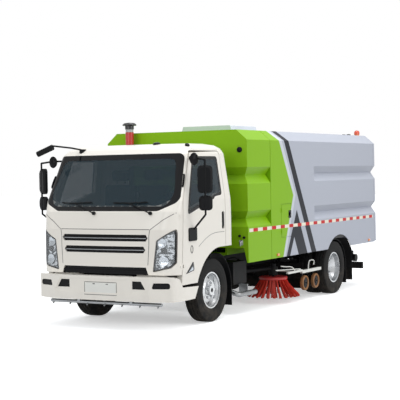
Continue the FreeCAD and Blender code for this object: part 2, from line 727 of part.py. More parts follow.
def springs():
    front = spring_pack(FRONT_AXLE_X, 1150, FRONT_SPRING_Y, AXLE_Z + 95, 3)
    hanger_f = block(FRONT_AXLE_X + 560, FRONT_AXLE_X + 620, RAIL_Y, FRONT_SPRING_Y + 30, 512, 552)
    hanger_r = block(FRONT_AXLE_X - 620, FRONT_AXLE_X - 560, RAIL_Y, FRONT_SPRING_Y + 30, 512, 640)
    rear = spring_pack(REAR_AXLE_X, 1250, REAR_SPRING_Y, AXLE_Z + 112, 5)
    hanger_rf = block(REAR_AXLE_X + 610, REAR_AXLE_X + 670, RAIL_Y, REAR_SPRING_Y + 30, 512, 640)
    hanger_rr = block(REAR_AXLE_X - 670, REAR_AXLE_X - 610, RAIL_Y, REAR_SPRING_Y + 30, 512, 640)
    packs = [join([front, hanger_f, hanger_r]), join([rear, hanger_rf, hanger_rr])]
    return group(packs + [mirrored(p) for p in packs])


KNUCKLE_HALF = 62.0


def front_axle():
    beam = prism_x([(-560, AXLE_Z + 45), (-500, AXLE_Z + 50), (500, AXLE_Z + 50), (560, AXLE_Z + 45),
                    (KINGPIN_Y, AXLE_Z + 42), (KINGPIN_Y, AXLE_Z - 42), (560, AXLE_Z - 40),
                    (380, AXLE_Z - 75, 60), (-380, AXLE_Z - 75, 60), (-560, AXLE_Z - 40),
                    (-KINGPIN_Y, AXLE_Z - 42), (-KINGPIN_Y, AXLE_Z + 42)],
                   FRONT_AXLE_X - 28, FRONT_AXLE_X + 28)
    seats_ = []
    for side in (-1, 1):
        y = side * FRONT_SPRING_Y
        seats_.append(block(FRONT_AXLE_X - 65, FRONT_AXLE_X + 65, y - 44, y + 44, AXLE_Z + 10,
                            AXLE_Z + 95 - 33))
        boss = rod((FRONT_AXLE_X, side * KINGPIN_Y, AXLE_Z - 42),
                   (FRONT_AXLE_X, side * KINGPIN_Y, AXLE_Z + 42), 32)
        seats_.append(boss)
    axle = join([beam] + seats_)
    for side in (-1, 1):
        axle = axle.cut(rod((FRONT_AXLE_X, side * KINGPIN_Y, AXLE_Z - 60),
                            (FRONT_AXLE_X, side * KINGPIN_Y, AXLE_Z + 60), KINGPIN_R + FIT_GAP))
    return axle


SPINDLE_R = 26.0
FRONT_DISC_Y = FRONT_TYRE_Y + 40.0     # outer face of the front wheel disc
FRONT_SPINDLE_END = FRONT_DISC_Y + 25.0


def knuckle(side):
    """A forked knuckle on its kingpin with the wheel's spindle and the steering arm."""
    upper = rod((FRONT_AXLE_X, KINGPIN_Y, AXLE_Z + 46), (FRONT_AXLE_X, KINGPIN_Y, AXLE_Z + 74), 32)
    lower = rod((FRONT_AXLE_X, KINGPIN_Y, AXLE_Z - 74), (FRONT_AXLE_X, KINGPIN_Y, AXLE_Z - 46), 32)
    pin = rod((FRONT_AXLE_X, KINGPIN_Y, AXLE_Z - 74), (FRONT_AXLE_X, KINGPIN_Y, AXLE_Z + 74), KINGPIN_R)
    plate = block(FRONT_AXLE_X - 32, FRONT_AXLE_X + 32, KINGPIN_Y + 36, KINGPIN_Y + 58, AXLE_Z - 74,
                  AXLE_Z + 74)
    web_up = block(FRONT_AXLE_X - 32, FRONT_AXLE_X + 32, KINGPIN_Y, KINGPIN_Y + 40, AXLE_Z + 46, AXLE_Z + 74)
    web_low = block(FRONT_AXLE_X - 32, FRONT_AXLE_X + 32, KINGPIN_Y, KINGPIN_Y + 40, AXLE_Z - 74, AXLE_Z - 46)
    spindle = rod((FRONT_AXLE_X, KINGPIN_Y + 50, AXLE_Z), (FRONT_AXLE_X, FRONT_SPINDLE_END, AXLE_Z),
                  SPINDLE_R)
    arm = prism_z([(FRONT_AXLE_X - 10, KINGPIN_Y + 10), (FRONT_AXLE_X - 10, KINGPIN_Y - 15),
                   (FRONT_AXLE_X - 190, KINGPIN_Y - 62, 8), (FRONT_AXLE_X - 190, KINGPIN_Y - 38, 8)],
                  AXLE_Z - 74, AXLE_Z - 50)
    body = join([upper, lower, pin, plate, web_up, web_low, spindle, arm])
    return body if side > 0 else mirrored(body)


def tyre_profile(middle):
    h = TYRE_W / 2
    lip = RIM_R + 0.4
    return [(BEAD_R, middle - 62), (lip, middle - 62), (lip, middle - 76),
            (BEAD_R + 40, middle - h + 6), (BEAD_R + 85, middle - h),
            (TYRE_R - 34, middle - h + 10), (TYRE_R - 8, middle - h + 24), (TYRE_R, middle - h + 44),
            (TYRE_R, middle + h - 44), (TYRE_R - 8, middle + h - 24), (TYRE_R - 34, middle + h - 10),
            (BEAD_R + 85, middle + h), (BEAD_R + 40, middle + h - 6), (lip, middle + 76),
            (lip, middle + 62), (BEAD_R, middle + 62)]


def tyre(middle, x, side):
    return turned(tyre_profile(middle), x, AXLE_Z, side)


def wheel_disc_profile(middle, disc_y, inner_r):
    """The rim's barrel and flanges with the wheel disc inside it."""
    return [
        (RIM_R, middle - 74), (RIM_R, middle - 62.5), (BEAD_R - 0.3, middle - 62.5),
        (BEAD_R - 0.3, middle + 62.5), (RIM_R, middle + 62.5), (RIM_R, middle + 74),
        (RIM_R - 16, middle + 74), (RIM_R - 20, middle + 55), (RIM_R - 40, disc_y - 30),
        (150, disc_y - 8), (118, disc_y + 8), (100, disc_y), (inner_r, disc_y),
        (inner_r, disc_y - 14), (96, disc_y - 14), (116, disc_y - 6), (146, disc_y - 22),
        (RIM_R - 44, disc_y - 44), (RIM_R - 24, middle - 20), (RIM_R - 18, middle - 74),
    ]


def hand_holes(x, disc_y, count):
    holes = []
    for i in range(count):
        a = 2 * math.pi * (i + 0.5) / count
        cx, cz = x + 152 * math.cos(a), AXLE_Z + 152 * math.sin(a)
        holes.append(rod((cx, disc_y - 60, cz), (cx, disc_y + 30, cz), 19))
    return holes


def studs(x, disc_y, count, radius):
    pieces = []
    for i in range(count):
        a = 2 * math.pi * i / count
        cx, cz = x + radius * math.cos(a), AXLE_Z + radius * math.sin(a)
        pieces.append(rod((cx, disc_y - 4, cz), (cx, disc_y + 22, cz), 13))
    return pieces


def front_rim(side):
    bore = SPINDLE_R + FIT_GAP
    rim = turned(wheel_disc_profile(FRONT_TYRE_Y, FRONT_DISC_Y, bore), FRONT_AXLE_X, AXLE_Z)
    for hole in hand_holes(FRONT_AXLE_X, FRONT_DISC_Y, 6):
        rim = rim.cut(hole)
    drum = turned([(bore, KINGPIN_Y + 66), (150, KINGPIN_Y + 66), (150, KINGPIN_Y + 130),
                   (90, FRONT_DISC_Y - 14), (bore, FRONT_DISC_Y - 14)], FRONT_AXLE_X, AXLE_Z)
    hub = turned([(bore, FRONT_DISC_Y - 1), (66, FRONT_DISC_Y - 1), (60, FRONT_DISC_Y + 40),
                  (bore, FRONT_DISC_Y + 40)], FRONT_AXLE_X, AXLE_Z)
    rim = join([rim, drum, hub] + studs(FRONT_AXLE_X, FRONT_DISC_Y, 6, 92))
    return rim if side > 0 else mirrored(rim)


REAR_DISC_Y = DUAL_INNER_Y + DUAL_PITCH / 2
AXLE_TUBE_R = 56.0
AXLE_END_R = 46.0          # where the rear hub turns


def rear_rim(side):
    """Two dished discs bolted back to back, with the brake drum and the hub."""
    outer_middle = DUAL_INNER_Y + DUAL_PITCH
    bore = AXLE_END_R + FIT_GAP
    m = REAR_DISC_Y

    def half(middle, sign):
        return [
            (RIM_R, middle - sign * 74), (RIM_R, middle - sign * 62.5), (BEAD_R - 0.3, middle - sign * 62.5),
            (BEAD_R - 0.3, middle + sign * 62.5), (RIM_R, middle + sign * 62.5), (RIM_R, middle + sign * 74),
            (RIM_R - 16, middle + sign * 74), (RIM_R - 22, middle + sign * 10), (150, m + sign * 26),
            (112, m + sign * 13), (bore, m + sign * 13), (bore, m), (112, m), (140, m),
            (RIM_R - 30, middle - sign * 40), (RIM_R - 18, middle - sign * 74),
        ]

    out = turned(half(outer_middle, 1), REAR_AXLE_X, AXLE_Z)
    inn = turned(half(DUAL_INNER_Y, -1), REAR_AXLE_X, AXLE_Z)
    drum = turned([(bore, m - 150), (155, m - 150), (155, m - 60), (110, m - 12.5), (bore, m - 12.5)],
                  REAR_AXLE_X, AXLE_Z)
    hub = turned([(0, m + 90), (bore - 4, m + 90), (72, m + 70), (78, m + 12.5), (bore, m + 12.5),
                  (bore, m + 60), (0, m + 60)], REAR_AXLE_X, AXLE_Z)
    rim = join([out, inn, drum, hub])
    for i in range(6):
        a = 2 * math.pi * (i + 0.5) / 6
        cx, cz = REAR_AXLE_X + 150 * math.cos(a), AXLE_Z + 150 * math.sin(a)
        rim = rim.cut(rod((cx, m - 25, cz), (cx, m + 90, cz), 17))
    rim = join([rim] + studs(REAR_AXLE_X, m + 13, 6, 96))
    return rim if side > 0 else mirrored(rim)


def rear_tyre(side):
    inner = tyre(DUAL_INNER_Y, REAR_AXLE_X, side)
    outer = tyre(DUAL_INNER_Y + DUAL_PITCH, REAR_AXLE_X, side)
    return group([inner, outer])


ENGINE_REAR_X = 1480.0


def behind_engine(shape):
    """What of a shape lies behind the engine block's rear face."""
    return shape.cut(block(ENGINE_REAR_X, ENGINE_REAR_X + 200, -400, 400, 200, 900))


def driveline():
    """The rear axle with its differential, and the propeller shaft to the engine."""
    nose_x = REAR_AXLE_X + 210
    banjo = rod((REAR_AXLE_X - 75, 0, AXLE_Z), (REAR_AXLE_X + 95, 0, AXLE_Z), 150)
    nose = Part.makeCone(120, 55, 120, V(nose_x - 120, 0, AXLE_Z), V(1, 0, 0))
    centre = join([banjo, nose])
    tube = rod((REAR_AXLE_X, 20, AXLE_Z), (REAR_AXLE_X, REAR_DISC_Y - 160, AXLE_Z), AXLE_TUBE_R)
    end = rod((REAR_AXLE_X, REAR_DISC_Y - 165, AXLE_Z), (REAR_AXLE_X, REAR_DISC_Y + 50, AXLE_Z), AXLE_END_R)
    pad = block(REAR_AXLE_X - 60, REAR_AXLE_X + 60, REAR_SPRING_Y - 44, REAR_SPRING_Y + 44,
                AXLE_Z, AXLE_Z + 57)
    half = join([tube, end, pad]).cut(centre)
    shaft = rod((REAR_AXLE_X + 100, 0, AXLE_Z), (ENGINE_REAR_X + 20, 0, AXLE_Z + 160), 38)
    shaft = behind_engine(shaft).cut(block(REAR_AXLE_X, nose_x, -100, 100, 200, 600))
    return group([centre, half, mirrored(half), shaft])


def engines():
    """The truck's engine under the cab and the sweeper's own engine, as plain blocks."""
    main = block(ENGINE_REAR_X, 2200, -290, 290, AXLE_Z + 65, 850)
    feet = [block(x, x + 70, y0, y0 + 79, 590, 630) for x in (1560, 2060) for y0 in (289, -368)]
    main = join([main] + feet)
    aux = block(730, 1195, -330, 330, SECTION_FRONT_Z0 - 65, 1450)
    return group([main, aux])


def mudguards():
    """A liner and flap behind each front wheel, and a hood and flap over each rear pair."""
    y0, y1 = 700.0, 885.0
    liner_r = TYRE_R + 75
    outer = rod((FRONT_AXLE_X, y0, AXLE_Z), (FRONT_AXLE_X, y1, AXLE_Z), liner_r + 6)
    inner = rod((FRONT_AXLE_X, y0 - 1, AXLE_Z), (FRONT_AXLE_X, y1 + 1, AXLE_Z), liner_r)
    keep = prism_y([(FRONT_AXLE_X - 600, AXLE_Z - 30), (FRONT_AXLE_X - 300, AXLE_Z - 30),
                    (FRONT_AXLE_X - 150, 860), (FRONT_AXLE_X - 600, 860)], y0, y1)
    front = outer.cut(inner).common(keep)
    x_flap = FRONT_AXLE_X - liner_r - 6
    flap = block(x_flap - 2, x_flap + 6, y0, y1, 150, AXLE_Z + 10)
    stay = block(x_flap - 4, x_flap + 36, RAIL_Y, y1 - 20, RAIL_Z0 + 20, RAIL_Z0 + 60).cut(inner)
    front = join([front, flap, stay])
    rear_y0, rear_y1 = DUAL_INNER_Y - 100, DUAL_INNER_Y + DUAL_PITCH + 95
    hood_r = TYRE_R + 22
    hood = rod((REAR_AXLE_X, rear_y0, AXLE_Z), (REAR_AXLE_X, rear_y1, AXLE_Z), hood_r + 5).cut(
        rod((REAR_AXLE_X, rear_y0 - 1, AXLE_Z), (REAR_AXLE_X, rear_y1 + 1, AXLE_Z), hood_r))
    hood = hood.common(block(REAR_AXLE_X - 700, REAR_AXLE_X + 160, rear_y0, rear_y1, AXLE_Z + 60, 900))
    flap_x = REAR_AXLE_X - math.sqrt(hood_r ** 2 - 60 ** 2) - 4
    rear_flap = block(flap_x - 6, flap_x, rear_y0, rear_y1, 120, AXLE_Z + 66)
    rear_stay = block(flap_x - 40, flap_x - 5, RAIL_Y, rear_y1 - 60, RAIL_Z0 + 22, RAIL_Z0 + 50)
    link = block(flap_x - 40, flap_x - 5, rear_y0 + 40, rear_y1 - 60, AXLE_Z + 40, RAIL_Z0 + 27)
    rear = join([hood, rear_flap, rear_stay, link])
    return group([front, mirrored(front), rear, mirrored(rear)])


BUMPER_T = 9.0
BUMPER_Z0 = 332.0
BUMPER_TOP = 608.0
BUMPER_END_X = 2880.0


def bumper_plan(inset, front_x):
    w = 942 - inset
    f = front_x - inset
    return [(f, -650, 60), (2905 - inset, -w + 15, 60), (2780, -w, 60), (2380 + inset, -w + 8),
            (2380 + inset, -500), (2700, -500), (2700, 500), (2380 + inset, 500), (2380 + inset, w - 8),
            (2780, w, 60), (2905 - inset, w - 15, 60), (f, 650, 60)]


def bumper():
    """A hollow pressed bumper with a wide recess and a lip below it, and its two end plates."""
    outer = prism_z(bumper_plan(0, HALF), BUMPER_Z0, BUMPER_TOP)
    inner_points = [(HALF - BUMPER_T, -645, 50), (2896, -918, 50), (2780, -933, 50), (2300, -925),
                    (2300, 925), (2780, 933, 50), (2896, 918, 50), (HALF - BUMPER_T, 645, 50)]
    inner = prism_z(inner_points, BUMPER_Z0 - 5, BUMPER_TOP - BUMPER_T)
    side_cut = prism_y([(2200, 700), (2896, 700), (2890, BUMPER_TOP), (2804, 580, 12), (2745, 484, 20),
                        (2380, 468), (2200, 462)], -1000, 1000)
    rear_low = prism_y([(2300, 300), (2300, 470), (2380, 468), (2462, 340), (2470, 300)], -1000, 1000)
    open_back = block(2300, 2892, -1000, 1000, BUMPER_TOP - BUMPER_T - 1, 700)
    slots = [block(2800, HALF - BUMPER_T, y - 23, y + 23, 560, 700) for y in (-401, 401)]
    shell = outer.cut(inner).cut(side_cut).cut(rear_low).cut(open_back)
    recess = prism_x([(-640, 420, 20), (640, 420, 20), (560, 575, 30), (-560, 575, 30)], HALF - 4, HALF + 5)
    for y in (-1, 1):
        hole = prism_x([(y * 560, 470), (y * 600, 470), (y * 545, 560), (y * 430, 560), (y * 430, 470)],
                       2950, HALF + 5)
        shell = shell.cut(hole)
    fog = prism_x([(676, 478, 15), (882, 478, 25), (882, 545, 30), (700, 545, 10)], 2800, HALF)
    shell = shell.cut(recess).cut(fog).cut(mirrored(fog))
    for slot in slots:
        shell = shell.cut(slot)
    brackets = [block(2890, HALF - BUMPER_T + 1, y - 22, y + 22, 446, 500) for y in (-323, 323)]
    behind = block(2300, BUMPER_END_X, -1000, 1000, BUMPER_Z0 - 20, 700)
    return group([join([shell.cut(behind)] + brackets)] + shell.common(behind).Solids)


def bumper_inserts():
    """Dark backing behind the bumper's openings, with the fog lamps."""
    backing = block(2955, HALF - BUMPER_T, 426, 612, 455, 575)
    fog_out = prism_x([(680, 482, 15), (878, 482, 22), (878, 541, 28), (702, 541, 10)], 2800, HALF)
    plan = prism_z(bumper_plan(5, HALF), 470, 560).cut(prism_z(bumper_plan(26, HALF), 465, 565))
    fog = fog_out.common(plan)
    return group([backing, mirrored(backing), fog, mirrored(fog)])


def spray_bar():
    """A water bar across the front, under the bumper, with its nozzles."""
    bar = rod((2900, -760, 296), (2900, 760, 296), 20)
    parts = [bar]
    for i in range(7):
        y = -720 + i * 240
        parts.append(rod((2900, y, 296), (2925, y, 262), 9))
    for y in (-360, 360):
        parts.append(block(2880, 2920, y - 20, y + 20, 296, 385))
    return join(parts)


UNDERRUN_X = (-2885.0, -2830.0)
UNDERRUN_Z = (235.0, 335.0)


def underrun():
    """The rear guard bar on its two stays."""
    back, front = UNDERRUN_X
    low, high = UNDERRUN_Z
    bar = block(back, front, -850, 850, low, high)
    for y in (-PLATE_PITCH / 2, PLATE_PITCH / 2):
        bar = bar.cut(rod((back - 5, y, PLATE_Z), (front + 5, y, PLATE_Z), PLATE_HOLE_R))
    stays = [prism_y([(front + 110, RAIL_Z0), (front + 190, RAIL_Z0), (front + 30, high - 35),
                      (front, high - 35), (front, high)], y, y + 50) for y in (-350, 300)]
    return group([bar] + stays)


def rear_lamps():
    """Round lamp clusters on brackets behind the rear wheels."""
    body = rod((-2470, 850, 430), (-2470, 905, 430), 55)
    stay = block(-2490, -2450, RAIL_Y, 851, 505, 535)
    drop = block(-2490, -2450, 820, 851, 430, 536)
    return both(join([body, stay, drop]))


def side_tanks():
    """Fuel tank and battery box outside the rails, behind the front wheels."""
    fuel = prism_y([(700, 340, 60), (1290, 340, 60), (1290, 630, 60), (700, 630, 60)], -860, -RAIL_Y)
    battery = block(860, 1215, RAIL_Y, 760, 360, 640)
    return group([fuel, battery])


def exhaust():
    """A bright tail pipe low on the left side, with its silencer inboard."""
    tail = behind_engine(bent_tube([(ENGINE_REAR_X + 10, 230, 478), (1262, 230, 468), (1262, 700, 300),
                                    (1262, 850, 245), (800, 850, 245)], 32, 60))
    hanger = block(1000, 1014, 730, 852, 240, 360)
    return join([tail, hanger])


def grooved_profile(depth_scale, inset):
    """The body's cross section with its two V grooves on each side."""
    w, c = BODY_HALF_W - inset, BODY_CHAMFER
    d = GROOVE_DEPTH * depth_scale
    right = [(w, BODY_SIDE_Z0 + inset)]
    for low, middle, high in reversed(GROOVES):
        right += [(w, low), (w - d, middle), (w, high)]
    right += [(w, BODY_SIDE_Z1 - inset * 0.4), (w - c + inset * 0.2, BODY_TOP - inset)]
    return right + [(-y, z) for y, z in reversed(right)]


def face_grooves(x, sign):
    """V grooves across a front face."""
    cuts = []
    for low, middle, high in GROOVES:
        cuts.append(prism_y([(x + sign, low - 0.5), (x + sign, high + 0.5),
                             (x - sign * GROOVE_DEPTH, middle)], -1100, 1100))
    return cuts


def front_section():
    """The fixed housing of the sweeper's engine: grooved on its front and sides, open below."""
    x0 = TANK_FRONT_X + TANK_JOINT_GAP
    outer = prism_x(grooved_profile(1, 0), x0, SECTION_FRONT_X)
    for cut in face_grooves(SECTION_FRONT_X, 1):
        outer = outer.cut(cut)
    inner = prism_x(grooved_profile(1, WALL), x0 + WALL, SECTION_FRONT_X - WALL)
    for low, middle, high in GROOVES:
        inner = inner.cut(prism_y([(SECTION_FRONT_X, low - 20), (SECTION_FRONT_X, high + 20),
                                   (SECTION_FRONT_X - GROOVE_DEPTH - WALL, middle)], -1100, 1100))
    middle_low = block(x0 - 10, SECTION_FRONT_X + 10, -960, 960, BODY_SIDE_Z0 - 10, SECTION_FRONT_Z0)
    corner = prism_x([(959, SECTION_FRONT_Z0 + 0.1), (959, BODY_SIDE_Z0 - 5), (1000, BODY_SIDE_Z0 - 5)],
                     x0 - 10, SECTION_FRONT_X + 10)
    shell = outer.cut(inner).cut(middle_low).cut(corner).cut(mirrored(corner))
    shelf = block(x0, SECTION_FRONT_X - 40, -700, 700, SECTION_FRONT_Z0 - 90, SECTION_FRONT_Z0 - 65)
    legs = [block(x, x + 60, y - 30, y + 30, RAIL_Z1, SECTION_FRONT_Z0 - 90)
            for x in (700, 1180) for y in (-345, 345)]
    sides = [block(x0, SECTION_FRONT_X - 40, y - 12, y + 12, SECTION_FRONT_Z0 - 90, SECTION_FRONT_Z0 + 30)
             for y in (-688, 688)]
    bars = [block(x0 + 5, x0 + 65, -994, 994, SECTION_FRONT_Z0 - 10, SECTION_FRONT_Z0 + 30),
            block(SECTION_FRONT_X - 70, SECTION_FRONT_X - 20, -990, 990, SECTION_FRONT_Z0,
                  SECTION_FRONT_Z0 + 30)]
    return join([shell, shelf] + legs + sides + bars)


INTAKE_X = 1412.0
INTAKE_Y = -600.0
INTAKE_STEPS = [           # radius and top of each step above the duct
    (53.0, 2288.0), (50.0, 2326.0), (57.0, 2372.0),
]


def intake():
    """The raised air intake between cab and body: duct, canister, collar, bowl and rain cap."""
    duct_top = 2127.0
    duct = rod((INTAKE_X, INTAKE_Y, 1300), (INTAKE_X, INTAKE_Y, duct_top), 46)
    elbow = rod((INTAKE_X, INTAKE_Y, 1350), (SECTION_FRONT_X, INTAKE_Y, 1350), 44)
    parts = [duct, elbow]
    low = duct_top
    for radius, top in INTAKE_STEPS:
        parts.append(turned_z([(0, low - 1), (radius - 4, low - 1), (radius, low + 3), (radius, top - 3),
                               (radius - 3, top), (0, top)], INTAKE_X, INTAKE_Y))
        low = top
    parts.append(turned_z([(0, low - 1), (84, low - 1), (89, low + 4), (89, low + 16), (66, low + 34),
                           (0, low + 42)], INTAKE_X, INTAKE_Y))
    return join(parts)


# Tipping tank

def tank_outer():
    w, c = BODY_HALF_W, BODY_CHAMFER
    plain = [(w, BODY_SIDE_Z0), (w, BODY_SIDE_Z1), (w - c, BODY_TOP), (-w + c, BODY_TOP),
             (-w, BODY_SIDE_Z1), (-w, BODY_SIDE_Z0)]
    body = prism_x(plain, -3100, TANK_FRONT_X)
    for low, middle, high in GROOVES:
        groove = prism_x([(w + 1, low - 0.5), (w + 1, high + 0.5), (w - GROOVE_DEPTH, middle)],
                         -3200, GROOVE_START_X)
        body = body.cut(groove).cut(mirrored(groove))
    return body


def tank_back_cut(offset):
    """Everything behind the tank's raked rear face."""
    return prism_y([(TANK_REAR_LOW_X - offset, BODY_SIDE_Z0 - 100), (TANK_REAR_TOP_X - offset, 2400),
                    (-3600, 2400), (-3600, BODY_SIDE_Z0 - 100)], -1200, 1200)


def tank_shell():
    outer = tank_outer().cut(tank_back_cut(0))
    w = BODY_HALF_W - WALL
    inside = [(w, TANK_FLOOR_Z + WALL), (w, BODY_SIDE_Z1 - 10), (w - BODY_CHAMFER + 8, BODY_TOP - WALL),
              (-w + BODY_CHAMFER - 8, BODY_TOP - WALL), (-w, BODY_SIDE_Z1 - 10), (-w, TANK_FLOOR_Z + WALL)]
    room = prism_x(inside, -3200, TANK_FRONT_X - WALL)
    for low, middle, high in GROOVES:
        ridge = prism_x([(BODY_HALF_W, low - 18), (BODY_HALF_W, high + 18), (w - GROOVE_DEPTH, middle)],
                        -3300, GROOVE_START_X + WALL)
        room = room.cut(ridge).cut(mirrored(ridge))
    under = block(-3200, TANK_FRONT_X + 10, -SKIRT_IN_Y, SKIRT_IN_Y, BODY_SIDE_Z0 - 10, TANK_FLOOR_Z)
    arch = rod((ARCH_X, SKIRT_IN_Y, ARCH_Z), (ARCH_X, 1100, ARCH_Z), ARCH_R)
    shell = outer.cut(room).cut(under).cut(arch).cut(mirrored(arch)).cut(hatch_pocket())
    return join([shell] + hatch_pins())


TANK_BEAM_Y = (313.0, 377.0)
TANK_BEARERS = [           # place and reach to each side
    (-2620, 980), (-2350, 980), (-1500, 560), (-1050, 980), (-500, 980), (0, 980), (560, 980),
]


def tank_frame():
    """Long beams and cross bearers under the tank's floor, with its hinge and rod ears."""
    inner, outer = TANK_BEAM_Y
    beam = block(TIP_X + 60, TANK_FRONT_X - 20, inner, outer, RAIL_Z1 + 1, TANK_FLOOR_Z)
    pad = block(TANK_FRONT_X - 130, TANK_FRONT_X - 20, inner, outer, RAIL_Z1, RAIL_Z1 + 2)
    half = [join([beam, pad])]
    middles = []
    lug_y = RAIL_Y + 30
    lug = prism_y([(TIP_X - 40, TIP_Z - 40, 35), (TIP_X + 40, TIP_Z - 40, 35), (TIP_X + 110, TANK_FLOOR_Z),
                   (TIP_X - 40, TANK_FLOOR_Z)], lug_y, lug_y + 30)
    lug = lug.cut(rod((TIP_X, lug_y - 5, TIP_Z), (TIP_X, lug_y + 40, TIP_Z), TIP_PIN_R + FIT_GAP))
    for x, reach in TANK_BEARERS:
        low = TANK_FLOOR_Z - 45
        wing = block(x - 30, x + 30, outer, reach, low, TANK_FLOOR_Z)
        middles.append(block(x - 30, x + 30, -inner, inner, low, TANK_FLOOR_Z))
        half.append(wing)
        lug = lug.cut(wing)
    half.append(lug)
    plate_z = TANK_FLOOR_Z - 13
    ears = [prism_y([(EYE_X - 40, EYE_Z - 35, 25), (EYE_X + 40, EYE_Z - 35, 25), (EYE_X + 60, plate_z),
                     (EYE_X - 60, plate_z)], y, y + 16) for y in (-62, 46)]
    ears.append(block(EYE_X - 60, EYE_X + 60, -62, 62, plate_z, TANK_FLOOR_Z))
    return group(half + [mirrored(piece) for piece in half] + middles + ears)


def tailgate():
    """The rear door, with the body's outline and grooves, hung from lugs above the roof edge."""
    outer = tank_outer().common(tank_back_cut(5)).cut(tank_back_cut(5 + TAILGATE_T))
    low = block(-3600, -2000, -1200, 1200, 0, BODY_SIDE_Z0 + 12)
    outer = outer.cut(low)
    arms = []
    for y in (-600, 600):
        lug = prism_y([(GATE_HINGE_X - 30, GATE_HINGE_Z - 60), (GATE_HINGE_X - 30, GATE_HINGE_Z + 18, 17),
                       (GATE_HINGE_X + 17, GATE_HINGE_Z + 18, 17), (GATE_HINGE_X + 17, GATE_HINGE_Z - 8),
                       (GATE_HINGE_X + 14, GATE_HINGE_Z - 11)], y - 25, y + 25)
        arms.append(lug)
        for ear_y in (y - 54, y + 27):
            room = rod((GATE_HINGE_X, ear_y, GATE_HINGE_Z), (GATE_HINGE_X, ear_y + 27, GATE_HINGE_Z), 26)
            outer = outer.cut(room)
    gate = join([outer] + arms)
    for y in (-600, 600):
        gate = gate.cut(rod((GATE_HINGE_X, y - 60, GATE_HINGE_Z), (GATE_HINGE_X, y + 60, GATE_HINGE_Z),
                            GATE_PIN_R + FIT_GAP))
    return gate


def gate_hinges():
    """Fixed ears and pins on the tank roof that the tailgate hangs on."""
    parts = []
    for y in (-600, 600):
        pin = rod((GATE_HINGE_X, y - 48, GATE_HINGE_Z), (GATE_HINGE_X, y + 48, GATE_HINGE_Z), GATE_PIN_R)
        ears = [prism_y([(GATE_HINGE_X - 18, GATE_HINGE_Z + 18, 16), (GATE_HINGE_X - 18, GATE_HINGE_Z - 9),
                         (TANK_REAR_TOP_X + 10, BODY_TOP), (TANK_REAR_TOP_X + 120, BODY_TOP),
                         (TANK_REAR_TOP_X + 60, GATE_HINGE_Z + 18)], e, e + 15) for e in (y - 48, y + 33)]
        parts.append(join([pin] + ears))
    return group(parts)


def roof_box():
    """The pale low box on the roof of the tank."""
    return prism_x([(-380, BODY_TOP), (380, BODY_TOP), (355, BODY_TOP + 92, 12), (-355, BODY_TOP + 92, 12)],
                   -260, 480)


def tank_lamps():
    """Rear beacons on the roof's corners and amber side markers."""
    parts = []
    for side in (-1, 1):
        y = side * 800
        base = rod((-2820, y, BODY_TOP), (-2820, y, BODY_TOP + 18), 36)
        dome = turned_z([(0, BODY_TOP + 17), (42, BODY_TOP + 17), (42, BODY_TOP + 55), (24, BODY_TOP + 78),
                         (0, BODY_TOP + 84)], -2820, y)
        parts.append(join([base, dome]))
        for x in (478, -2695):
            low, high = sorted((side * BODY_HALF_W, side * (BODY_HALF_W + 12)))
            parts.append(block(x - 32, x + 32, low, high, 674, 706))
    return group(parts)


HATCH_X0, HATCH_X1 = 60.0, 360.0
HATCH_Z0, HATCH_Z1 = 900.0, 1334.0
HATCH_T = 12.0


HATCH_PIN_X = HATCH_X1 - 4.0
HATCH_PIN_Y = BODY_HALF_W + 3.0
HATCH_PIN_ZS = (960.0, 1240.0)


def hatch_pocket():
    """The opening for the side hatch, with a step that it closes against."""
    outer = block(HATCH_X0, HATCH_X1, BODY_HALF_W - HATCH_T - 0.5, 1100, HATCH_Z0, HATCH_Z1)
    inner = block(HATCH_X0 + 25, HATCH_X1 - 25, 900, 1100, HATCH_Z0 + 25, HATCH_Z1 - 25)
    notches = [block(HATCH_X1 - 5, HATCH_PIN_X + 10, HATCH_PIN_Y - 9, 1100, z - 1.5, z + 31.5)
               for z in HATCH_PIN_ZS]
    return join([outer, inner] + notches)


def hatch_pins():
    """Pins of the side hatch with an ear above and below each hinge eye."""
    pieces = []
    for z in HATCH_PIN_ZS:
        pins = [rod((HATCH_PIN_X, HATCH_PIN_Y, z - 14), (HATCH_PIN_X, HATCH_PIN_Y, z + 44), 3)]
        for low in (z - 14, z + 31):
            base = low if low < z else low + 1
            pins.append(rod((HATCH_PIN_X, HATCH_PIN_Y, base), (HATCH_PIN_X, HATCH_PIN_Y, low + 12), 7))
            pins.append(block(HATCH_PIN_X - 2, HATCH_PIN_X + 22, BODY_HALF_W - 1, HATCH_PIN_Y,
                              base, low + 12))
        pieces.append(join(pins))
    return pieces


def hatch():
    """The hinged side hatch of the tank with its lock's knob."""
    panel = block(HATCH_X0 + 6, HATCH_X1 - 7, BODY_HALF_W - HATCH_T, BODY_HALF_W, HATCH_Z0 + 6, HATCH_Z1 - 6)
    for z in HATCH_PIN_ZS:
        panel = panel.cut(block(HATCH_PIN_X - 12, HATCH_PIN_X + 20, BODY_HALF_W - 9, 1100, z - 17, z + 47))
        knuckle_eye = rod((HATCH_PIN_X, HATCH_PIN_Y, z), (HATCH_PIN_X, HATCH_PIN_Y, z + 30), 7)
        strap = block(HATCH_PIN_X - 30, HATCH_PIN_X, BODY_HALF_W - 1, HATCH_PIN_Y + 5, z, z + 30)
        eye = knuckle_eye.fuse(strap).cut(rod((HATCH_PIN_X, HATCH_PIN_Y, z - 1),
                                              (HATCH_PIN_X, HATCH_PIN_Y, z + 31), 3 + FIT_GAP))
        panel = panel.fuse(eye)
    knob = rod((HATCH_X0 + 44, BODY_HALF_W - 1, 1196), (HATCH_X0 + 44, BODY_HALF_W + 12, 1196), 20)
    return join([panel, knob])


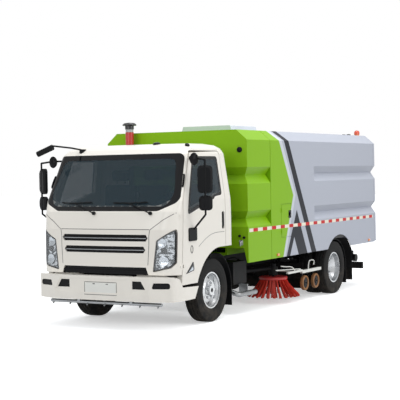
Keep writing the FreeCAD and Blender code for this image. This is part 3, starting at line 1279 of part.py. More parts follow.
def barrel():
    """The tipping cylinder's barrel, from its eye on the frame towards the rod's eye."""
    start = V(BARREL_X, 0, BARREL_Z)
    direction = V(EYE_X, 0, EYE_Z) - start
    length = direction.Length
    direction.normalize()
    neck = rod(tuple(start + direction * 20), tuple(start + direction * 70), BARREL_R - 22)
    body = rod(tuple(start + direction * 62), tuple(start + direction * (length - 130)), BARREL_R)
    bore = rod(tuple(start + direction * 80), tuple(start + direction * (length - 100)), ROD_R + FIT_GAP)
    eye = rod((BARREL_X, -36, BARREL_Z), (BARREL_X, 36, BARREL_Z), 34)
    return join([body, neck, eye]).cut(bore).cut(rod((BARREL_X, -50, BARREL_Z), (BARREL_X, 50, BARREL_Z),
                                               20 + FIT_GAP))


def ram_rod():
    start = V(BARREL_X, 0, BARREL_Z)
    end = V(EYE_X, 0, EYE_Z)
    direction = end - start
    length = direction.Length
    direction.normalize()
    shaft = rod(tuple(start + direction * 110), tuple(end), ROD_R)
    eye = rod((EYE_X, -44, EYE_Z), (EYE_X, 44, EYE_Z), 36)
    return join([shaft, eye])


# Sweeping gear

def arm_axis():
    """Direction of the brush arm's tilted pivot: the brush drops as it swings out."""
    lean = math.radians(ARM_TILT_DEG)
    away = V(0.65, 0.76, 0)
    away.normalize()
    axis = V(away.x * math.sin(lean), away.y * math.sin(lean), math.cos(lean))
    return axis


def brush_arm(side):
    axis = arm_axis()
    pivot = V(ARM_PIVOT_X, ARM_PIVOT_Y, ARM_Z)
    boss = Part.makeCylinder(36, 60, pivot - axis * 30, axis)
    pin = Part.makeCylinder(16, 130, pivot - axis * 65, axis)
    hub_x, hub_y = BRUSH_X, BRUSH_Y
    head = rod((hub_x, hub_y, BRUSH_DISC_Z1 + 12), (hub_x, hub_y, ARM_Z + 22), 62)
    cap = rod((hub_x, hub_y, ARM_Z + 20), (hub_x, hub_y, ARM_Z + 60), 40)
    shaft = rod((hub_x, hub_y, BRUSH_DISC_Z0 + 5), (hub_x, hub_y, BRUSH_DISC_Z1 + 15), 14)
    beam = bent_tube([(ARM_PIVOT_X - 10, ARM_PIVOT_Y, ARM_Z), (ARM_PIVOT_X - 140, ARM_PIVOT_Y + 30, ARM_Z),
                      (hub_x, hub_y, ARM_Z)], 24, 80)
    body = join([boss, pin, head, cap, shaft, beam])
    return body if side > 0 else mirrored(body)


def arm_brackets():
    """Forked brackets on the rails that hold the brush arms' pivots."""
    axis = arm_axis()
    pivot = V(ARM_PIVOT_X, ARM_PIVOT_Y, ARM_Z)
    plates = []
    for low, high in ((-58, -36), (36, 58)):
        boss = Part.makeCylinder(38, high - low, pivot + axis * low, axis)
        web = block(ARM_PIVOT_X - 38, ARM_PIVOT_X + 38, RAIL_Y + 8, ARM_PIVOT_Y,
                    ARM_Z + low + 4, ARM_Z + high - 4)
        plates += [boss, web]
    back = block(ARM_PIVOT_X - 38, ARM_PIVOT_X + 38, RAIL_Y, RAIL_Y + 18, ARM_Z - 66, RAIL_Z0 + 60)
    body = join(plates + [back])
    bore = Part.makeCylinder(16 + FIT_GAP, 200, pivot - axis * 100, axis)
    return both(body.cut(bore))


def brush(side):
    """A round board with a ring of splayed tufts."""
    disc = turned_z([(14 + FIT_GAP, BRUSH_DISC_Z0), (BRUSH_DISC_R - 12, BRUSH_DISC_Z0),
                     (BRUSH_DISC_R, BRUSH_DISC_Z0 + 8), (BRUSH_DISC_R, BRUSH_DISC_Z1 - 10),
                     (BRUSH_DISC_R - 25, BRUSH_DISC_Z1), (14 + FIT_GAP, BRUSH_DISC_Z1)], BRUSH_X, BRUSH_Y)
    tufts = []
    for i in range(BRUSH_TUFTS):
        a = 360.0 * i / BRUSH_TUFTS
        top = tuft_section(BRUSH_DISC_R - 42, BRUSH_DISC_Z0 + 4, 20, 16)
        low = tuft_section(BRUSH_TIP_R - 40, BRUSH_TIP_Z, 38, 40)
        tuft = Part.makeLoft([top, low], True, True)
        tuft.rotate(V(BRUSH_X, BRUSH_Y, 0), V(0, 0, 1), a)
        tufts.append(tuft)
    body = join([disc] + tufts)
    return body if side > 0 else mirrored(body)


def tuft_section(r, z, half_w, depth):
    points = [V(BRUSH_X + r, BRUSH_Y - half_w, z), V(BRUSH_X + r + depth, BRUSH_Y - half_w, z),
              V(BRUSH_X + r + depth, BRUSH_Y + half_w, z), V(BRUSH_X + r, BRUSH_Y + half_w, z)]
    return Part.makePolygon(points + [points[0]])


def nozzle():
    """The full-width suction box with its side bars, guide posts and caster forks."""
    profile = [(NOZZLE_X0, NOZZLE_Z0), (NOZZLE_X1, NOZZLE_Z0), (NOZZLE_X1 - 15, NOZZLE_Z0 + 90, 30),
               (NOZZLE_X1 - 45, NOZZLE_Z1, 15), (NOZZLE_X0 + 60, NOZZLE_Z1, 20),
               (NOZZLE_X0 + 15, NOZZLE_Z0 + 90, 30)]
    body = prism_y(profile, -NOZZLE_HALF_W, NOZZLE_HALF_W)
    inner = [(NOZZLE_X0 + 10, NOZZLE_Z0 - 1), (NOZZLE_X1 - 10, NOZZLE_Z0 - 1),
             (NOZZLE_X1 - 25, NOZZLE_Z0 + 86, 20), (NOZZLE_X1 - 50, NOZZLE_Z1 - 10, 10),
             (NOZZLE_X0 + 65, NOZZLE_Z1 - 10, 10), (NOZZLE_X0 + 25, NOZZLE_Z0 + 86, 20)]
    body = body.cut(prism_y(inner, -NOZZLE_HALF_W + 10, NOZZLE_HALF_W - 10))
    duct_hole = rod((PIPE_X, PIPE_Y, NOZZLE_Z1 - 40), (PIPE_X, PIPE_Y, NOZZLE_Z1 + 60), PIPE_R + 6)
    collar = pipe((PIPE_X, PIPE_Y, NOZZLE_Z1 - 4), (PIPE_X, PIPE_Y, NOZZLE_Z1 + 130), PIPE_R + 14, PIPE_R + 6)
    body = body.cut(duct_hole)
    parts = [body, collar]
    for y in (-POST_Y, POST_Y):
        parts.append(rod((POST_X, y, NOZZLE_Z1 - 5), (POST_X, y, 565 + NOZZLE_DROP), POST_R))
    for side in (-1, 1):
        y = side * (CASTER_Y + 20)
        bar = block(-1000, -380, y - 18, y + 18, 376, 412)
        parts.append(bar)
        for x in (-900, -690):
            low, high = sorted((side * (NOZZLE_HALF_W - 60), y))
            parts.append(block(x, x + 36, low, high, 376, 412))
            foot = block(x, x + 36, side * (NOZZLE_HALF_W - 60) - 18, side * (NOZZLE_HALF_W - 60) + 18,
                         NOZZLE_Z1 - 5, 412)
            parts.append(foot)
        for x in CASTER_XS:
            inner_y = side * (CASTER_Y - CASTER_W / 2 - 14)
            fork = block(x - 22, x + 22, inner_y - 6, inner_y + 6, CASTER_Z - 25, 376.5)
            outer_y = side * (CASTER_Y + CASTER_W / 2 + 12)
            crown = block(x - 22, x + 22, min(inner_y, outer_y) - 5, max(inner_y, outer_y) + 5, 360, 377)
            axle = rod((x, min(inner_y, outer_y), CASTER_Z), (x, max(inner_y, outer_y), CASTER_Z), 10)
            parts += [fork, crown, axle]
    return join(parts)


def caster(x, side):
    """A solid tyre on a dished hub, on its axle."""
    half = CASTER_W / 2
    wheel = turned([(10 + FIT_GAP, CASTER_Y - half), (34, CASTER_Y - half), (40, CASTER_Y - half + 12),
                    (72, CASTER_Y - half + 12), (78, CASTER_Y - half), (CASTER_R - 6, CASTER_Y - half),
                    (CASTER_R, CASTER_Y - half + 8), (CASTER_R, CASTER_Y + half - 8),
                    (CASTER_R - 6, CASTER_Y + half), (78, CASTER_Y + half), (72, CASTER_Y + half - 12),
                    (40, CASTER_Y + half - 12), (34, CASTER_Y + half), (10 + FIT_GAP, CASTER_Y + half)],
                   x, CASTER_Z)
    return wheel if side > 0 else mirrored(wheel)


def suction_pipe():
    """The pipe from the nozzle's collar up to the tank's floor."""
    tube = pipe((PIPE_X, PIPE_Y, NOZZLE_Z1 + 10), (PIPE_X, PIPE_Y, TANK_FLOOR_Z - 8), PIPE_R, PIPE_R - 7)
    stay = block(PIPE_X - 30, PIPE_X + 30, PIPE_Y + PIPE_R - 8, RAIL_Y - RAIL_T, 600, 640)
    bore = rod((PIPE_X, PIPE_Y, 500), (PIPE_X, PIPE_Y, 700), PIPE_R - 7)
    return join([tube, stay.cut(bore)])


NODES = {
    "frame": frame,
    "springs": springs,
    "front_axle": front_axle,
    "driveline": driveline,
    "engines": engines,
    "mudguards": mudguards,
    "bumper": bumper,
    "bumper_inserts": bumper_inserts,
    "spray_bar": spray_bar,
    "underrun": underrun,
    "rear_lamps": rear_lamps,
    "side_tanks": side_tanks,
    "exhaust": exhaust,
    "front_section": front_section,
    "intake": intake,
    "arm_brackets": arm_brackets,
    "suction_pipe": suction_pipe,
    "cab_shell": cab_shell,
    "cab_glass": cab_glass,
    "grille": grille,
    "headlamps": headlamps,
    "dash": dash,
    "seats": seats,
    "seat_frames": seat_frames,
    "wipers": wipers,
    "front_mirror": front_mirror,
    "tank_shell": tank_shell,
    "tank_frame": tank_frame,
    "tailgate": tailgate,
    "hatch": hatch,
    "gate_hinges": gate_hinges,
    "roof_box": roof_box,
    "tank_lamps": tank_lamps,
    "cylinder_barrel": barrel,
    "cylinder_rod": ram_rod,
    "nozzle": nozzle,
}
for label, side in (("left", 1), ("right", -1)):
    NODES["door_" + label] = lambda side=side: door(side)
    NODES["door_glass_" + label] = lambda side=side: door_glass(side)
    NODES["mirror_" + label] = lambda side=side: mirror(side)
    NODES["knuckle_" + label] = lambda side=side: knuckle(side)
    NODES["front_rim_" + label] = lambda side=side: front_rim(side)
    NODES["front_tyre_" + label] = lambda side=side: tyre(FRONT_TYRE_Y, FRONT_AXLE_X, side)
    NODES["rear_rim_" + label] = lambda side=side: rear_rim(side)
    NODES["rear_tyre_" + label] = lambda side=side: rear_tyre(side)
    NODES["brush_arm_" + label] = lambda side=side: brush_arm(side)
    NODES["brush_" + label] = lambda side=side: brush(side)
    for place, x in (("front", CASTER_XS[0]), ("rear", CASTER_XS[1])):
        NODES["caster_%s_%s" % (place, label)] = lambda x=x, side=side: caster(x, side)

os.makedirs("parts", exist_ok=True)
for name, make in NODES.items():
    shape = make()
    shape.exportStep("parts/%s.step" % name)
    box = shape.BoundBox
    print("%-20s solids %d valid %s  x %.0f..%.0f  y %.0f..%.0f  z %.0f..%.0f" % (
        name, len(shape.Solids), shape.isValid(), box.XMin, box.XMax, box.YMin, box.YMax, box.ZMin, box.ZMax))
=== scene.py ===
"""Street sweeper truck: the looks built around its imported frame, in metres, X forward, Y left and Z up."""

import logging
import math
from dataclasses import dataclass
from enum import Enum
from typing import Sequence, Union

import bpy
import numpy as np
from mathutils import Matrix, Vector


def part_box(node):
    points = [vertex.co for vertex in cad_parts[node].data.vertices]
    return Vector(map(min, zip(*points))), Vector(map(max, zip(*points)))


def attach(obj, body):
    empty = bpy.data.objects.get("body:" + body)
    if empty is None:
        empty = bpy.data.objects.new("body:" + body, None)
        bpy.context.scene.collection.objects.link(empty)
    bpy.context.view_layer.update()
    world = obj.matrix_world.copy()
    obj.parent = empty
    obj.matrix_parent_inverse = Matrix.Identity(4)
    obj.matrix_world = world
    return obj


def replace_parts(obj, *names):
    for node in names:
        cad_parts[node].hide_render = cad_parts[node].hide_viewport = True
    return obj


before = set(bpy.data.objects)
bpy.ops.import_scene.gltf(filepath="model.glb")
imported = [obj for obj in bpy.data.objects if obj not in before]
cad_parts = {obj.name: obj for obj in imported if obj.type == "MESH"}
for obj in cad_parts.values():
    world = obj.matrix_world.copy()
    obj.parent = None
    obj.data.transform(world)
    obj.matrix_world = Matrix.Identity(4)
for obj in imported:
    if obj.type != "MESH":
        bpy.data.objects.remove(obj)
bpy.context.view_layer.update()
LOG = logging.getLogger("sweeper")

Colour = tuple[float, float, float]
Number = Union[float, "Link"]
Spot = tuple[float, float]
Place = tuple[float, float, float]
Array = np.ndarray


class Side(Enum):
    """Which side of the truck a piece is on, with its sign along Y."""

    LEFT = 1
    RIGHT = -1

    @property
    def label(self) -> str:
        """The side's word in node and body names."""
        return self.name.lower()


def srgb(red: int, green: int, blue: int) -> Colour:
    """A linear colour from 8-bit display values: each is scaled to 1 and raised by the display's curve."""
    def channel(value: int) -> float:
        part = value / 255
        return part / 12.92 if part <= 0.04045 else ((part + 0.055) / 1.055) ** 2.4
    return channel(red), channel(green), channel(blue)


class Link:
    """A shader socket that can be used in Python expressions; each operator adds its Math node."""

    def __init__(self, graph: "Graph", socket: bpy.types.NodeSocket) -> None:
        """Keeps the graph and the output socket that carries the value."""
        self.graph = graph
        self.socket = socket

    def math(self, operation: str, *others: Number) -> "Link":
        """Adds a Math node.

        Args:
            operation: the node's operation.
            others: its second and third values.

        Returns:
            The node's result.
        """
        return self.graph.node("ShaderNodeMath", {"operation": operation}, (self, *others))

    def __add__(self, other: Number) -> "Link":
        """Sum."""
        return self.math("ADD", other)

    __radd__ = __add__

    def __sub__(self, other: Number) -> "Link":
        """Difference."""
        return self.math("SUBTRACT", other)

    def __rsub__(self, other: Number) -> "Link":
        """A number less this value."""
        return self.graph.node("ShaderNodeMath", {"operation": "SUBTRACT"}, (other, self))

    def __mul__(self, other: Number) -> "Link":
        """Product."""
        return self.math("MULTIPLY", other)

    __rmul__ = __mul__

    def __truediv__(self, other: Number) -> "Link":
        """Quotient."""
        return self.math("DIVIDE", other)

    def at_least(self, other: Number) -> "Link":
        """The larger of two values."""
        return self.math("MAXIMUM", other)

    def at_most(self, other: Number) -> "Link":
        """The smaller of two values."""
        return self.math("MINIMUM", other)

    def ramp(self, low: float, high: float) -> "Link":
        """0 below low and 1 above high with a smooth step between; low may be the larger."""
        inputs = {"Value": self, "From Min": low, "From Max": high, "To Min": 0.0, "To Max": 1.0}
        return self.graph.node("ShaderNodeMapRange", {"interpolation_type": "SMOOTHSTEP"}, inputs)


class Graph:
    """The node tree of a material or of the world."""

    def __init__(self, name: str, tree: Union[bpy.types.NodeTree, None] = None) -> None:
        """Starts an empty material with its output node, or works on the world's tree."""
        self.material = None
        if tree is None:
            self.material = bpy.data.materials.new(name)
            self.material.use_nodes = True
            tree = self.material.node_tree
        self.tree = tree
        self.tree.nodes.clear()
        kind = "ShaderNodeOutputMaterial" if self.material else "ShaderNodeOutputWorld"
        self.output = self.tree.nodes.new(kind)

    def node(
        self, kind: str, settings: dict, inputs: Union[dict, Sequence], output: Union[int, str] = 0
    ) -> Link:
        """Adds any node.

        Args:
            kind: the node's type.
            settings: attributes that are set before the sockets, such as a Math node's operation.
            inputs: values or links by socket name or in socket order.
            output: name or number of the output that is returned.

        Returns:
            The chosen output.
        """
        made = self.tree.nodes.new(kind)
        for key, value in settings.items():
            setattr(made, key, value)
        pairs = inputs.items() if isinstance(inputs, dict) else enumerate(inputs)
        for key, value in pairs:
            self.feed(made.inputs[key], value)
        return Link(self, made.outputs[output])

    def feed(self, socket: bpy.types.NodeSocket, value: object) -> None:
        """Sets a socket's value, or links it when the value is a Link; a 3-number colour gets its alpha."""
        if isinstance(value, Link):
            self.tree.links.new(value.socket, socket)
        elif isinstance(value, tuple) and socket.type == "RGBA" and len(value) == 3:
            socket.default_value = (*value, 1.0)
        else:
            socket.default_value = value

    def spot(self) -> Link:
        """Object coordinates."""
        return self.node("ShaderNodeTexCoord", {}, {}, "Object")

    def axes(self) -> tuple[Link, Link, Link]:
        """X, Y and Z of the object coordinates."""
        split = self.tree.nodes.new("ShaderNodeSeparateXYZ")
        self.feed(split.inputs[0], self.spot())
        return tuple(Link(self, split.outputs[i]) for i in range(3))

    def noise(self, scale: float, detail: float = 3.0, stretch: Place = (1, 1, 1)) -> Link:
        """Noise of a scale per metre on the object coordinates."""
        place = self.node("ShaderNodeMapping", {}, {"Vector": self.spot(), "Scale": stretch})
        inputs = {"Vector": place, "Scale": scale, "Detail": detail}
        return self.node("ShaderNodeTexNoise", {}, inputs, "Fac")

    def mix(self, factor: Number, first: object, second: object, blend: str = "MIX") -> Link:
        """A colour between two colours, or the first one blended with the second."""
        made = self.tree.nodes.new("ShaderNodeMix")
        made.data_type = "RGBA"
        made.blend_type = blend
        for index, value in ((0, factor), (6, first), (7, second)):
            self.feed(made.inputs[index], value)
        return Link(self, made.outputs[2])

    def bump(self, height: Link, depth: float) -> Link:
        """A normal from a height, with its depth in metres."""
        inputs = {"Height": height, "Distance": depth, "Strength": 1.0}
        return self.node("ShaderNodeBump", {}, inputs, "Normal")

    def surface(self, values: dict) -> Link:
        """A Principled shader with its sockets set."""
        return self.node("ShaderNodeBsdfPrincipled", {}, values)

    def close(self, shader: Link) -> bpy.types.Material:
        """Links the shader to the output and returns the material."""
        self.feed(self.output.inputs["Surface"], shader)
        return self.material


GREEN = srgb(133, 182, 20)
SILVER = srgb(180, 184, 195)
DUST = srgb(126, 116, 104)
DUST_FULL_Z = 0.05
DRIFT_SCALE = 2.3
PATCH_SCALE = 9.0


@dataclass(frozen=True)
class Finish:
    """A finish with soft colour drift, fine grain in gloss and height, and road dust towards the ground."""

    name: str
    colour: Colour
    roughness: float = 0.5
    metallic: float = 0.0
    coat: float = 0.0
    drift: float = 0.06
    grain: float = 400.0
    grain_depth: float = 0.00002
    gloss_drift: float = 0.08
    dust: float = 0.25
    dust_top: float = 0.7
    specular: float = 0.5

    def base(self, graph: Graph) -> Union[Link, Colour]:
        """The colour before drift and dust."""
        return self.colour

    def material(self) -> bpy.types.Material:
        """Builds the material: colour times slow noise, then dust mixed in by height and noise."""
        graph = Graph(self.name)
        slow = graph.noise(DRIFT_SCALE, 4.0)
        fine = graph.noise(self.grain, 2.0)
        shade = graph.mix(slow, (1 - 2 * self.drift,) * 3, (1.0, 1.0, 1.0))
        colour = graph.mix(1.0, self.base(graph), shade, "MULTIPLY")
        low = graph.axes()[2].ramp(self.dust_top, DUST_FULL_Z)
        dusty = low * graph.noise(PATCH_SCALE, 5.0).ramp(0.35, 0.75) * self.dust
        colour = graph.mix(dusty, colour, DUST)
        rough = (slow - 0.5) * self.gloss_drift + self.roughness + dusty * 0.3
        values = {
            "Base Color": colour, "Roughness": rough, "Metallic": self.metallic, "Coat Weight": self.coat,
            "Coat Roughness": 0.06, "Specular IOR Level": self.specular,
            "Normal": graph.bump(fine, self.grain_depth),
        }
        return graph.close(graph.surface(values))


@dataclass(frozen=True)
class Glow:
    """A lit or reflective lens: clear or coloured plastic over a fine moulded pattern."""

    name: str
    colour: Colour
    ribs: float = 180.0
    rib_depth: float = 0.0006
    roughness: float = 0.12

    def material(self) -> bpy.types.Material:
        """Builds the material: waves along Z and Y make the lens's moulded squares."""
        graph = Graph(self.name)
        y, z = graph.axes()[1:]
        height = (z * self.ribs).math("SINE") + (y * self.ribs).math("SINE")
        slow = graph.noise(20.0)
        colour = graph.mix(slow, self.colour, tuple(0.8 * channel for channel in self.colour))
        values = {
            "Base Color": colour, "Roughness": self.roughness + 0.05 * slow, "Coat Weight": 0.6,
            "Normal": graph.bump(height, self.rib_depth),
        }
        return graph.close(graph.surface(values))


@dataclass(frozen=True)
class Pane:
    """Window glass with a printed black border outside a convex outline in two axes."""

    name: str
    outline: tuple[Spot, ...] = ()
    across: int = 1
    border: float = 0.004
    tint: Colour = srgb(44, 60, 68)
    alpha: float = 0.55

    def clear_area(self, graph: Graph) -> Number:
        """1 inside the outline: the least distance to its edges, stepped over the border's width."""
        if not self.outline:
            return 1.0
        axes = graph.axes()
        u, v = axes[self.across], axes[2]
        least: Link | None = None
        for (u0, v0), (u1, v1) in zip(self.outline, self.outline[1:] + self.outline[:1]):
            length = math.hypot(u1 - u0, v1 - v0)
            nu, nv = -(v1 - v0) / length, (u1 - u0) / length
            distance = u * nu + v * nv - (u0 * nu + v0 * nv)
            least = distance if least is None else least.at_most(distance)
        return least.ramp(0.0, self.border)

    def material(self) -> bpy.types.Material:
        """Builds the material: see-through tinted glass, with an opaque black print at its rim."""
        graph = Graph(self.name)
        inside = self.clear_area(graph)
        colour = graph.mix(inside, (0.006, 0.006, 0.007), self.tint)
        smear = graph.noise(6.0, 4.0)
        values = {
            "Base Color": colour, "Roughness": smear * 0.03 + 0.03, "Alpha": 1 - inside * (1 - self.alpha),
            "Specular IOR Level": 0.22,
        }
        made = graph.close(graph.surface(values))
        made.surface_render_method = "BLENDED"
        return made


TAPE_Z = (1.021, 1.063)
TAPE_X = (-2.872, 1.262)
TAPE_SQUARES = 16.0
TAPE_FROM_Y = (0.94, 0.96)
PAINT_EDGE = 0.003


def line_mask(x: Link, z: Link, low: Spot, high: Spot) -> Link:
    """1 in front of the line through two (x, z) points: x less the line's x at that height, stepped."""
    slope = (high[0] - low[0]) / (high[1] - low[1])
    return (x - (z - low[1]) * slope - low[0]).ramp(-PAINT_EDGE, PAINT_EDGE)


def stripe(x: Link, z: Link, rear: tuple[Spot, Spot], front: tuple[Spot, Spot]) -> Link:
    """1 between two lines."""
    return line_mask(x, z, *rear) * (1 - line_mask(x, z, *front))


def bent_mask(x: Link, z: Link, low: Spot, knee: Spot, high: Spot) -> Link:
    """1 in front of a line that bends at the knee: the upper part's mask above it, the lower one's below."""
    above = z.ramp(knee[1] - 0.002, knee[1] + 0.002)
    return line_mask(x, z, knee, high) * above + line_mask(x, z, low, knee) * (1 - above)


def hazard_tape(graph: Graph, colour: object, x: Link, z: Link) -> Link:
    """Red and white squares in a band along the side: a square wave of X inside the band's heights."""
    edge = 0.001
    inside = z.ramp(TAPE_Z[0] - edge, TAPE_Z[0]) * z.ramp(TAPE_Z[1] + edge, TAPE_Z[1])
    inside = inside * x.ramp(TAPE_X[0] - edge, TAPE_X[0]) * x.ramp(TAPE_X[1] + edge, TAPE_X[1])
    inside = inside * graph.axes()[1].math("ABSOLUTE").ramp(*TAPE_FROM_Y)
    pitch = (TAPE_X[1] - TAPE_X[0]) / TAPE_SQUARES
    phase = ((x - TAPE_X[0]) / pitch).math("FRACT")
    red = phase.ramp(0.10, 0.12) * phase.ramp(0.60, 0.58)
    tape = graph.mix(red, srgb(238, 232, 214), srgb(198, 30, 30))
    return graph.mix(inside, colour, tape)


@dataclass(frozen=True)
class BodyPaint(Finish):
    """The tank's paint: green in front, silver behind, with a pale stripe and dark leaning bars."""

    pale: Colour = srgb(206, 210, 217)
    dark: Colour = srgb(20, 23, 32)

    def base(self, graph: Graph) -> Link:
        """Colours by X and Z: lines with slopes part the areas, later ones lying over earlier ones."""
        x, _, z = graph.axes()
        green = bent_mask(x, z, (0.277, 0.741), (-0.015, 1.44), (0.404, 2.166))
        pale = bent_mask(x, z, (0.212, 0.741), (-0.085, 1.44), (0.318, 2.166)) * (1 - green)
        colour = graph.mix(pale, self.colour, self.pale)
        bar = stripe(x, z, ((-0.724, 0.661), (0.115, 2.16)), ((-0.567, 0.661), (0.252, 2.16)))
        outer = stripe(x, z, ((-0.435, 0.653), (-0.115, 1.245)), ((0.218, 0.647), (-0.115, 1.245)))
        inner = stripe(x, z, ((-0.155, 0.646), (-0.025, 0.886)), ((0.116, 0.64), (-0.025, 0.886)))
        figure = outer * z.ramp(1.247, 1.243) * (1 - inner * z.ramp(0.888, 0.884))
        colour = graph.mix(green, colour, GREEN)
        colour = graph.mix(bar.at_least(figure), colour, self.dark)
        return hazard_tape(graph, colour, x, z)


@dataclass(frozen=True)
class HousingPaint(Finish):
    """The green engine housing's paint, with the hazard tape on its sides."""

    def base(self, graph: Graph) -> Link:
        """Green under the tape."""
        x, _, z = graph.axes()
        return hazard_tape(graph, self.colour, x, z)


@dataclass(frozen=True)
class IntakePaint(Finish):
    """The raised intake: black duct, red pipe, silver collar and black bowl, one above the other."""

    tops: tuple[float, ...] = (2.127, 2.288, 2.326)
    black: Colour = srgb(16, 16, 18)
    silver: Colour = srgb(170, 172, 174)

    def base(self, graph: Graph) -> Link:
        """Colours by height: each step of Z goes over to the next one's colour."""
        z = graph.axes()[2]
        colour = self.black
        for top, above in zip(self.tops, (self.colour, self.silver, self.black)):
            colour = graph.mix(z.ramp(top - 0.001, top + 0.001), colour, above)
        return colour


@dataclass(frozen=True)
class CasterPaint(Finish):
    """The casters' tan tyres round a dark hub."""

    middles: tuple[float, ...] = (-0.522, -0.872)
    height: float = 0.233
    hub: float = 0.072

    def base(self, graph: Graph) -> Link:
        """Dark within the hub's radius: (x - cx)^2 + (z - cz)^2 < hub^2 about either wheel's middle."""
        x, _, z = graph.axes()
        rise = (z - self.height) * (z - self.height)
        near, far = ((x - middle) * (x - middle) + rise for middle in self.middles)
        tan = near.at_most(far).ramp(self.hub ** 2, (self.hub + 0.001) ** 2)
        return graph.mix(tan, srgb(26, 27, 30), self.colour)


@dataclass(frozen=True)
class Reflector(Finish):
    """A headlamp's faceted bowl: painted reflections, bright and dark patches in its colour, stand in for the
    surroundings that it mirrors.
    """

    cell: float = 24.0

    def base(self, graph: Graph) -> Link:
        """Painted reflection: bright and dark patches, where stretched noise goes over between them within a
        narrow step.
        """
        painted_reflection = graph.noise(self.cell, 3.0, (1.0, 0.8, 1.6)).ramp(0.45, 0.53)
        return graph.mix(painted_reflection, srgb(52, 58, 62), self.colour)


SCREEN_CLEAR = ((-0.775, 1.388), (0.775, 1.388), (0.848, 1.52), (0.77, 1.925), (-0.77, 1.925), (-0.848, 1.52))
DOOR_CLEAR = ((2.553, 1.34), (2.536, 1.455), (2.352, 1.914), (1.828, 1.914), (1.814, 1.532))

# Each row: name, display colour, then as many of the values of Finish, in its order, as differ from its own:
# roughness, metallic, coat, drift, grain, grain depth, gloss drift, dust, dust top and specular.
PLAIN_FINISHES = (
    ("cab_paint", (236, 231, 222), 0.3, 0, 0.15, 0.012, 300, 0.00001, 0.04, 0.12, 0.7, 0.3),
    ("silver_paint", (180, 184, 195), 0.4, 0, 0, 0.015, 300, 0.00001, 0.05, 0.08, 0.8, 0.15),
    ("roof_grey", (204, 210, 216), 0.5, 0, 0, 0.02, 300, 0.00001, 0.05, 0, 0.5, 0.2),
    # chassis black is black paint made darker still, as painted shade for the parts under the truck
    ("chassis_black", (17, 18, 20), 0.6, 0, 0, 0.1, 220, 0.00004, 0.1, 0.2, 0.6, 0.15),
    ("cast_grey", (48, 50, 52), 0.62, 0.3, 0, 0.12, 150, 0.0002, 0.12, 0.25, 0.9, 0.2),
    ("zinc_steel", (150, 153, 156), 0.38, 0.85, 0, 0.08, 260, 0.00004, 0.12, 0.3, 0.6),
    ("bright_steel", (196, 198, 200), 0.2, 1, 0, 0.04, 300, 0.00001, 0.06, 0.2, 0.4),
    ("rim_silver", (196, 198, 200), 0.26, 0.9, 0, 0.06, 240, 0.00003, 0.1, 0.25, 0.6),
    ("black_plastic", (14, 15, 17), 0.5, 0, 0, 0.08, 700, 0.00006, 0.08, 0.06, 0.6, 0.12),
    ("gloss_black", (7, 7, 10), 0.25, 0, 0, 0.05, 400, 0.00001, 0.04, 0.03, 0.5, 0.12),
    ("dash_plastic", (38, 40, 42), 0.6, 0, 0, 0.06, 900, 0.00008, 0.06, 0, 0.1, 0.3),
    ("rubber", (18, 18, 19), 0.78, 0, 0, 0.12, 300, 0.0001, 0.1, 0.25, 0.5, 0.15),
    ("tyre", (40, 40, 40), 0.85, 0, 0, 0.14, 350, 0.0001, 0.1, 0.25, 0.6, 0.15),
    ("bristle_red", (240, 74, 58), 0.42, 0, 0, 0.25, 120, 0.0001, 0.1, 0.1, 0.15, 0.4),
    ("seat_cloth", (52, 52, 55), 0.9, 0, 0, 0.12, 900, 0.0004, 0.05, 0, 0.1, 0.2),
    ("brush_board", (206, 56, 54), 0.4, 0, 0.1, 0.1, 200, 0.00004, 0.1, 0.2, 0.4),
    ("seam_dark", (34, 35, 38), 0.5, 0, 0, 0.05, 400, 0.00001),
    # crease grey is painted shade: grey lines along creases and round the plate
    ("crease_grey", (128, 127, 124), 0.5, 0, 0, 0.05, 400, 0.00001),
    ("bar_white", (236, 236, 230), 0.4, 0, 0, 0.06, 260, 0.00004, 0.1, 0.2, 0.6, 0.3),
    ("mirror_silver", (220, 224, 228), 0.04, 1, 0, 0.02, 300, 0.000002, 0.02, 0.05, 0.5),
    ("lamp_mirror", (176, 182, 188), 0.1, 1, 0, 0.1, 60, 0.0012, 0.1, 0, 0.1),
    ("lamp_dark", (16, 18, 22), 0.1, 0, 0, 0.1, 300, 0.00001, 0.02, 0, 0.1, 0.4),
)
BODY_GLOSS = (0.4, 0, 0, 0.015, 300, 0.00001, 0.05, 0.08, 0.8, 0.12)


class Finishes:
    """Every material of the truck, made once."""

    def __init__(self) -> None:
        """Builds the finishes by name."""
        self.made: dict[str, bpy.types.Material] = {}
        screen = tuple(map(tuple, rounded(SCREEN_CLEAR, 0.07).tolist()))
        special = (
            BodyPaint("tank_paint", SILVER, *BODY_GLOSS),
            HousingPaint("housing_paint", GREEN, *BODY_GLOSS),
            CasterPaint("caster_tan", srgb(158, 112, 72), 0.62, 0, 0, 0.15, 260, 0.0001, 0.1, 0.1, 0.3, 0.3),
            IntakePaint("intake_paint", srgb(182, 40, 32), 0.3, 0, 0.1, 0.05),
            # lamp chrome: its colour holds painted reflections, bright and dark patches
            Reflector("lamp_chrome", srgb(200, 205, 210), 0.14, 0.8, 0, 0.1, 60, 0.0012, 0.1, 0, 0.1),
            Glow("beacon_lens", srgb(214, 70, 26), 90.0, 0.001),
            Glow("amber_lens", srgb(240, 130, 24)),
            Pane("lamp_glass", tint=srgb(236, 240, 243), alpha=0.1),
            Pane("screen_glass", screen, 1),
            Pane("door_glass", DOOR_CLEAR, 0),
        )
        plain = [Finish(name, srgb(*colour), *values) for name, colour, *values in PLAIN_FINISHES]
        for finish in (*plain, *special):
            self.made[finish.name] = finish.material()

    def __getitem__(self, name: str) -> bpy.types.Material:
        """The material with that name."""
        return self.made[name]


def wear(node: str, material: bpy.types.Material) -> None:
    """Gives a CAD node one material in each of its slots."""
    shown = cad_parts[node]
    if not shown.material_slots:
        shown.data.materials.append(material)
    for slot in shown.material_slots:
        slot.material = material


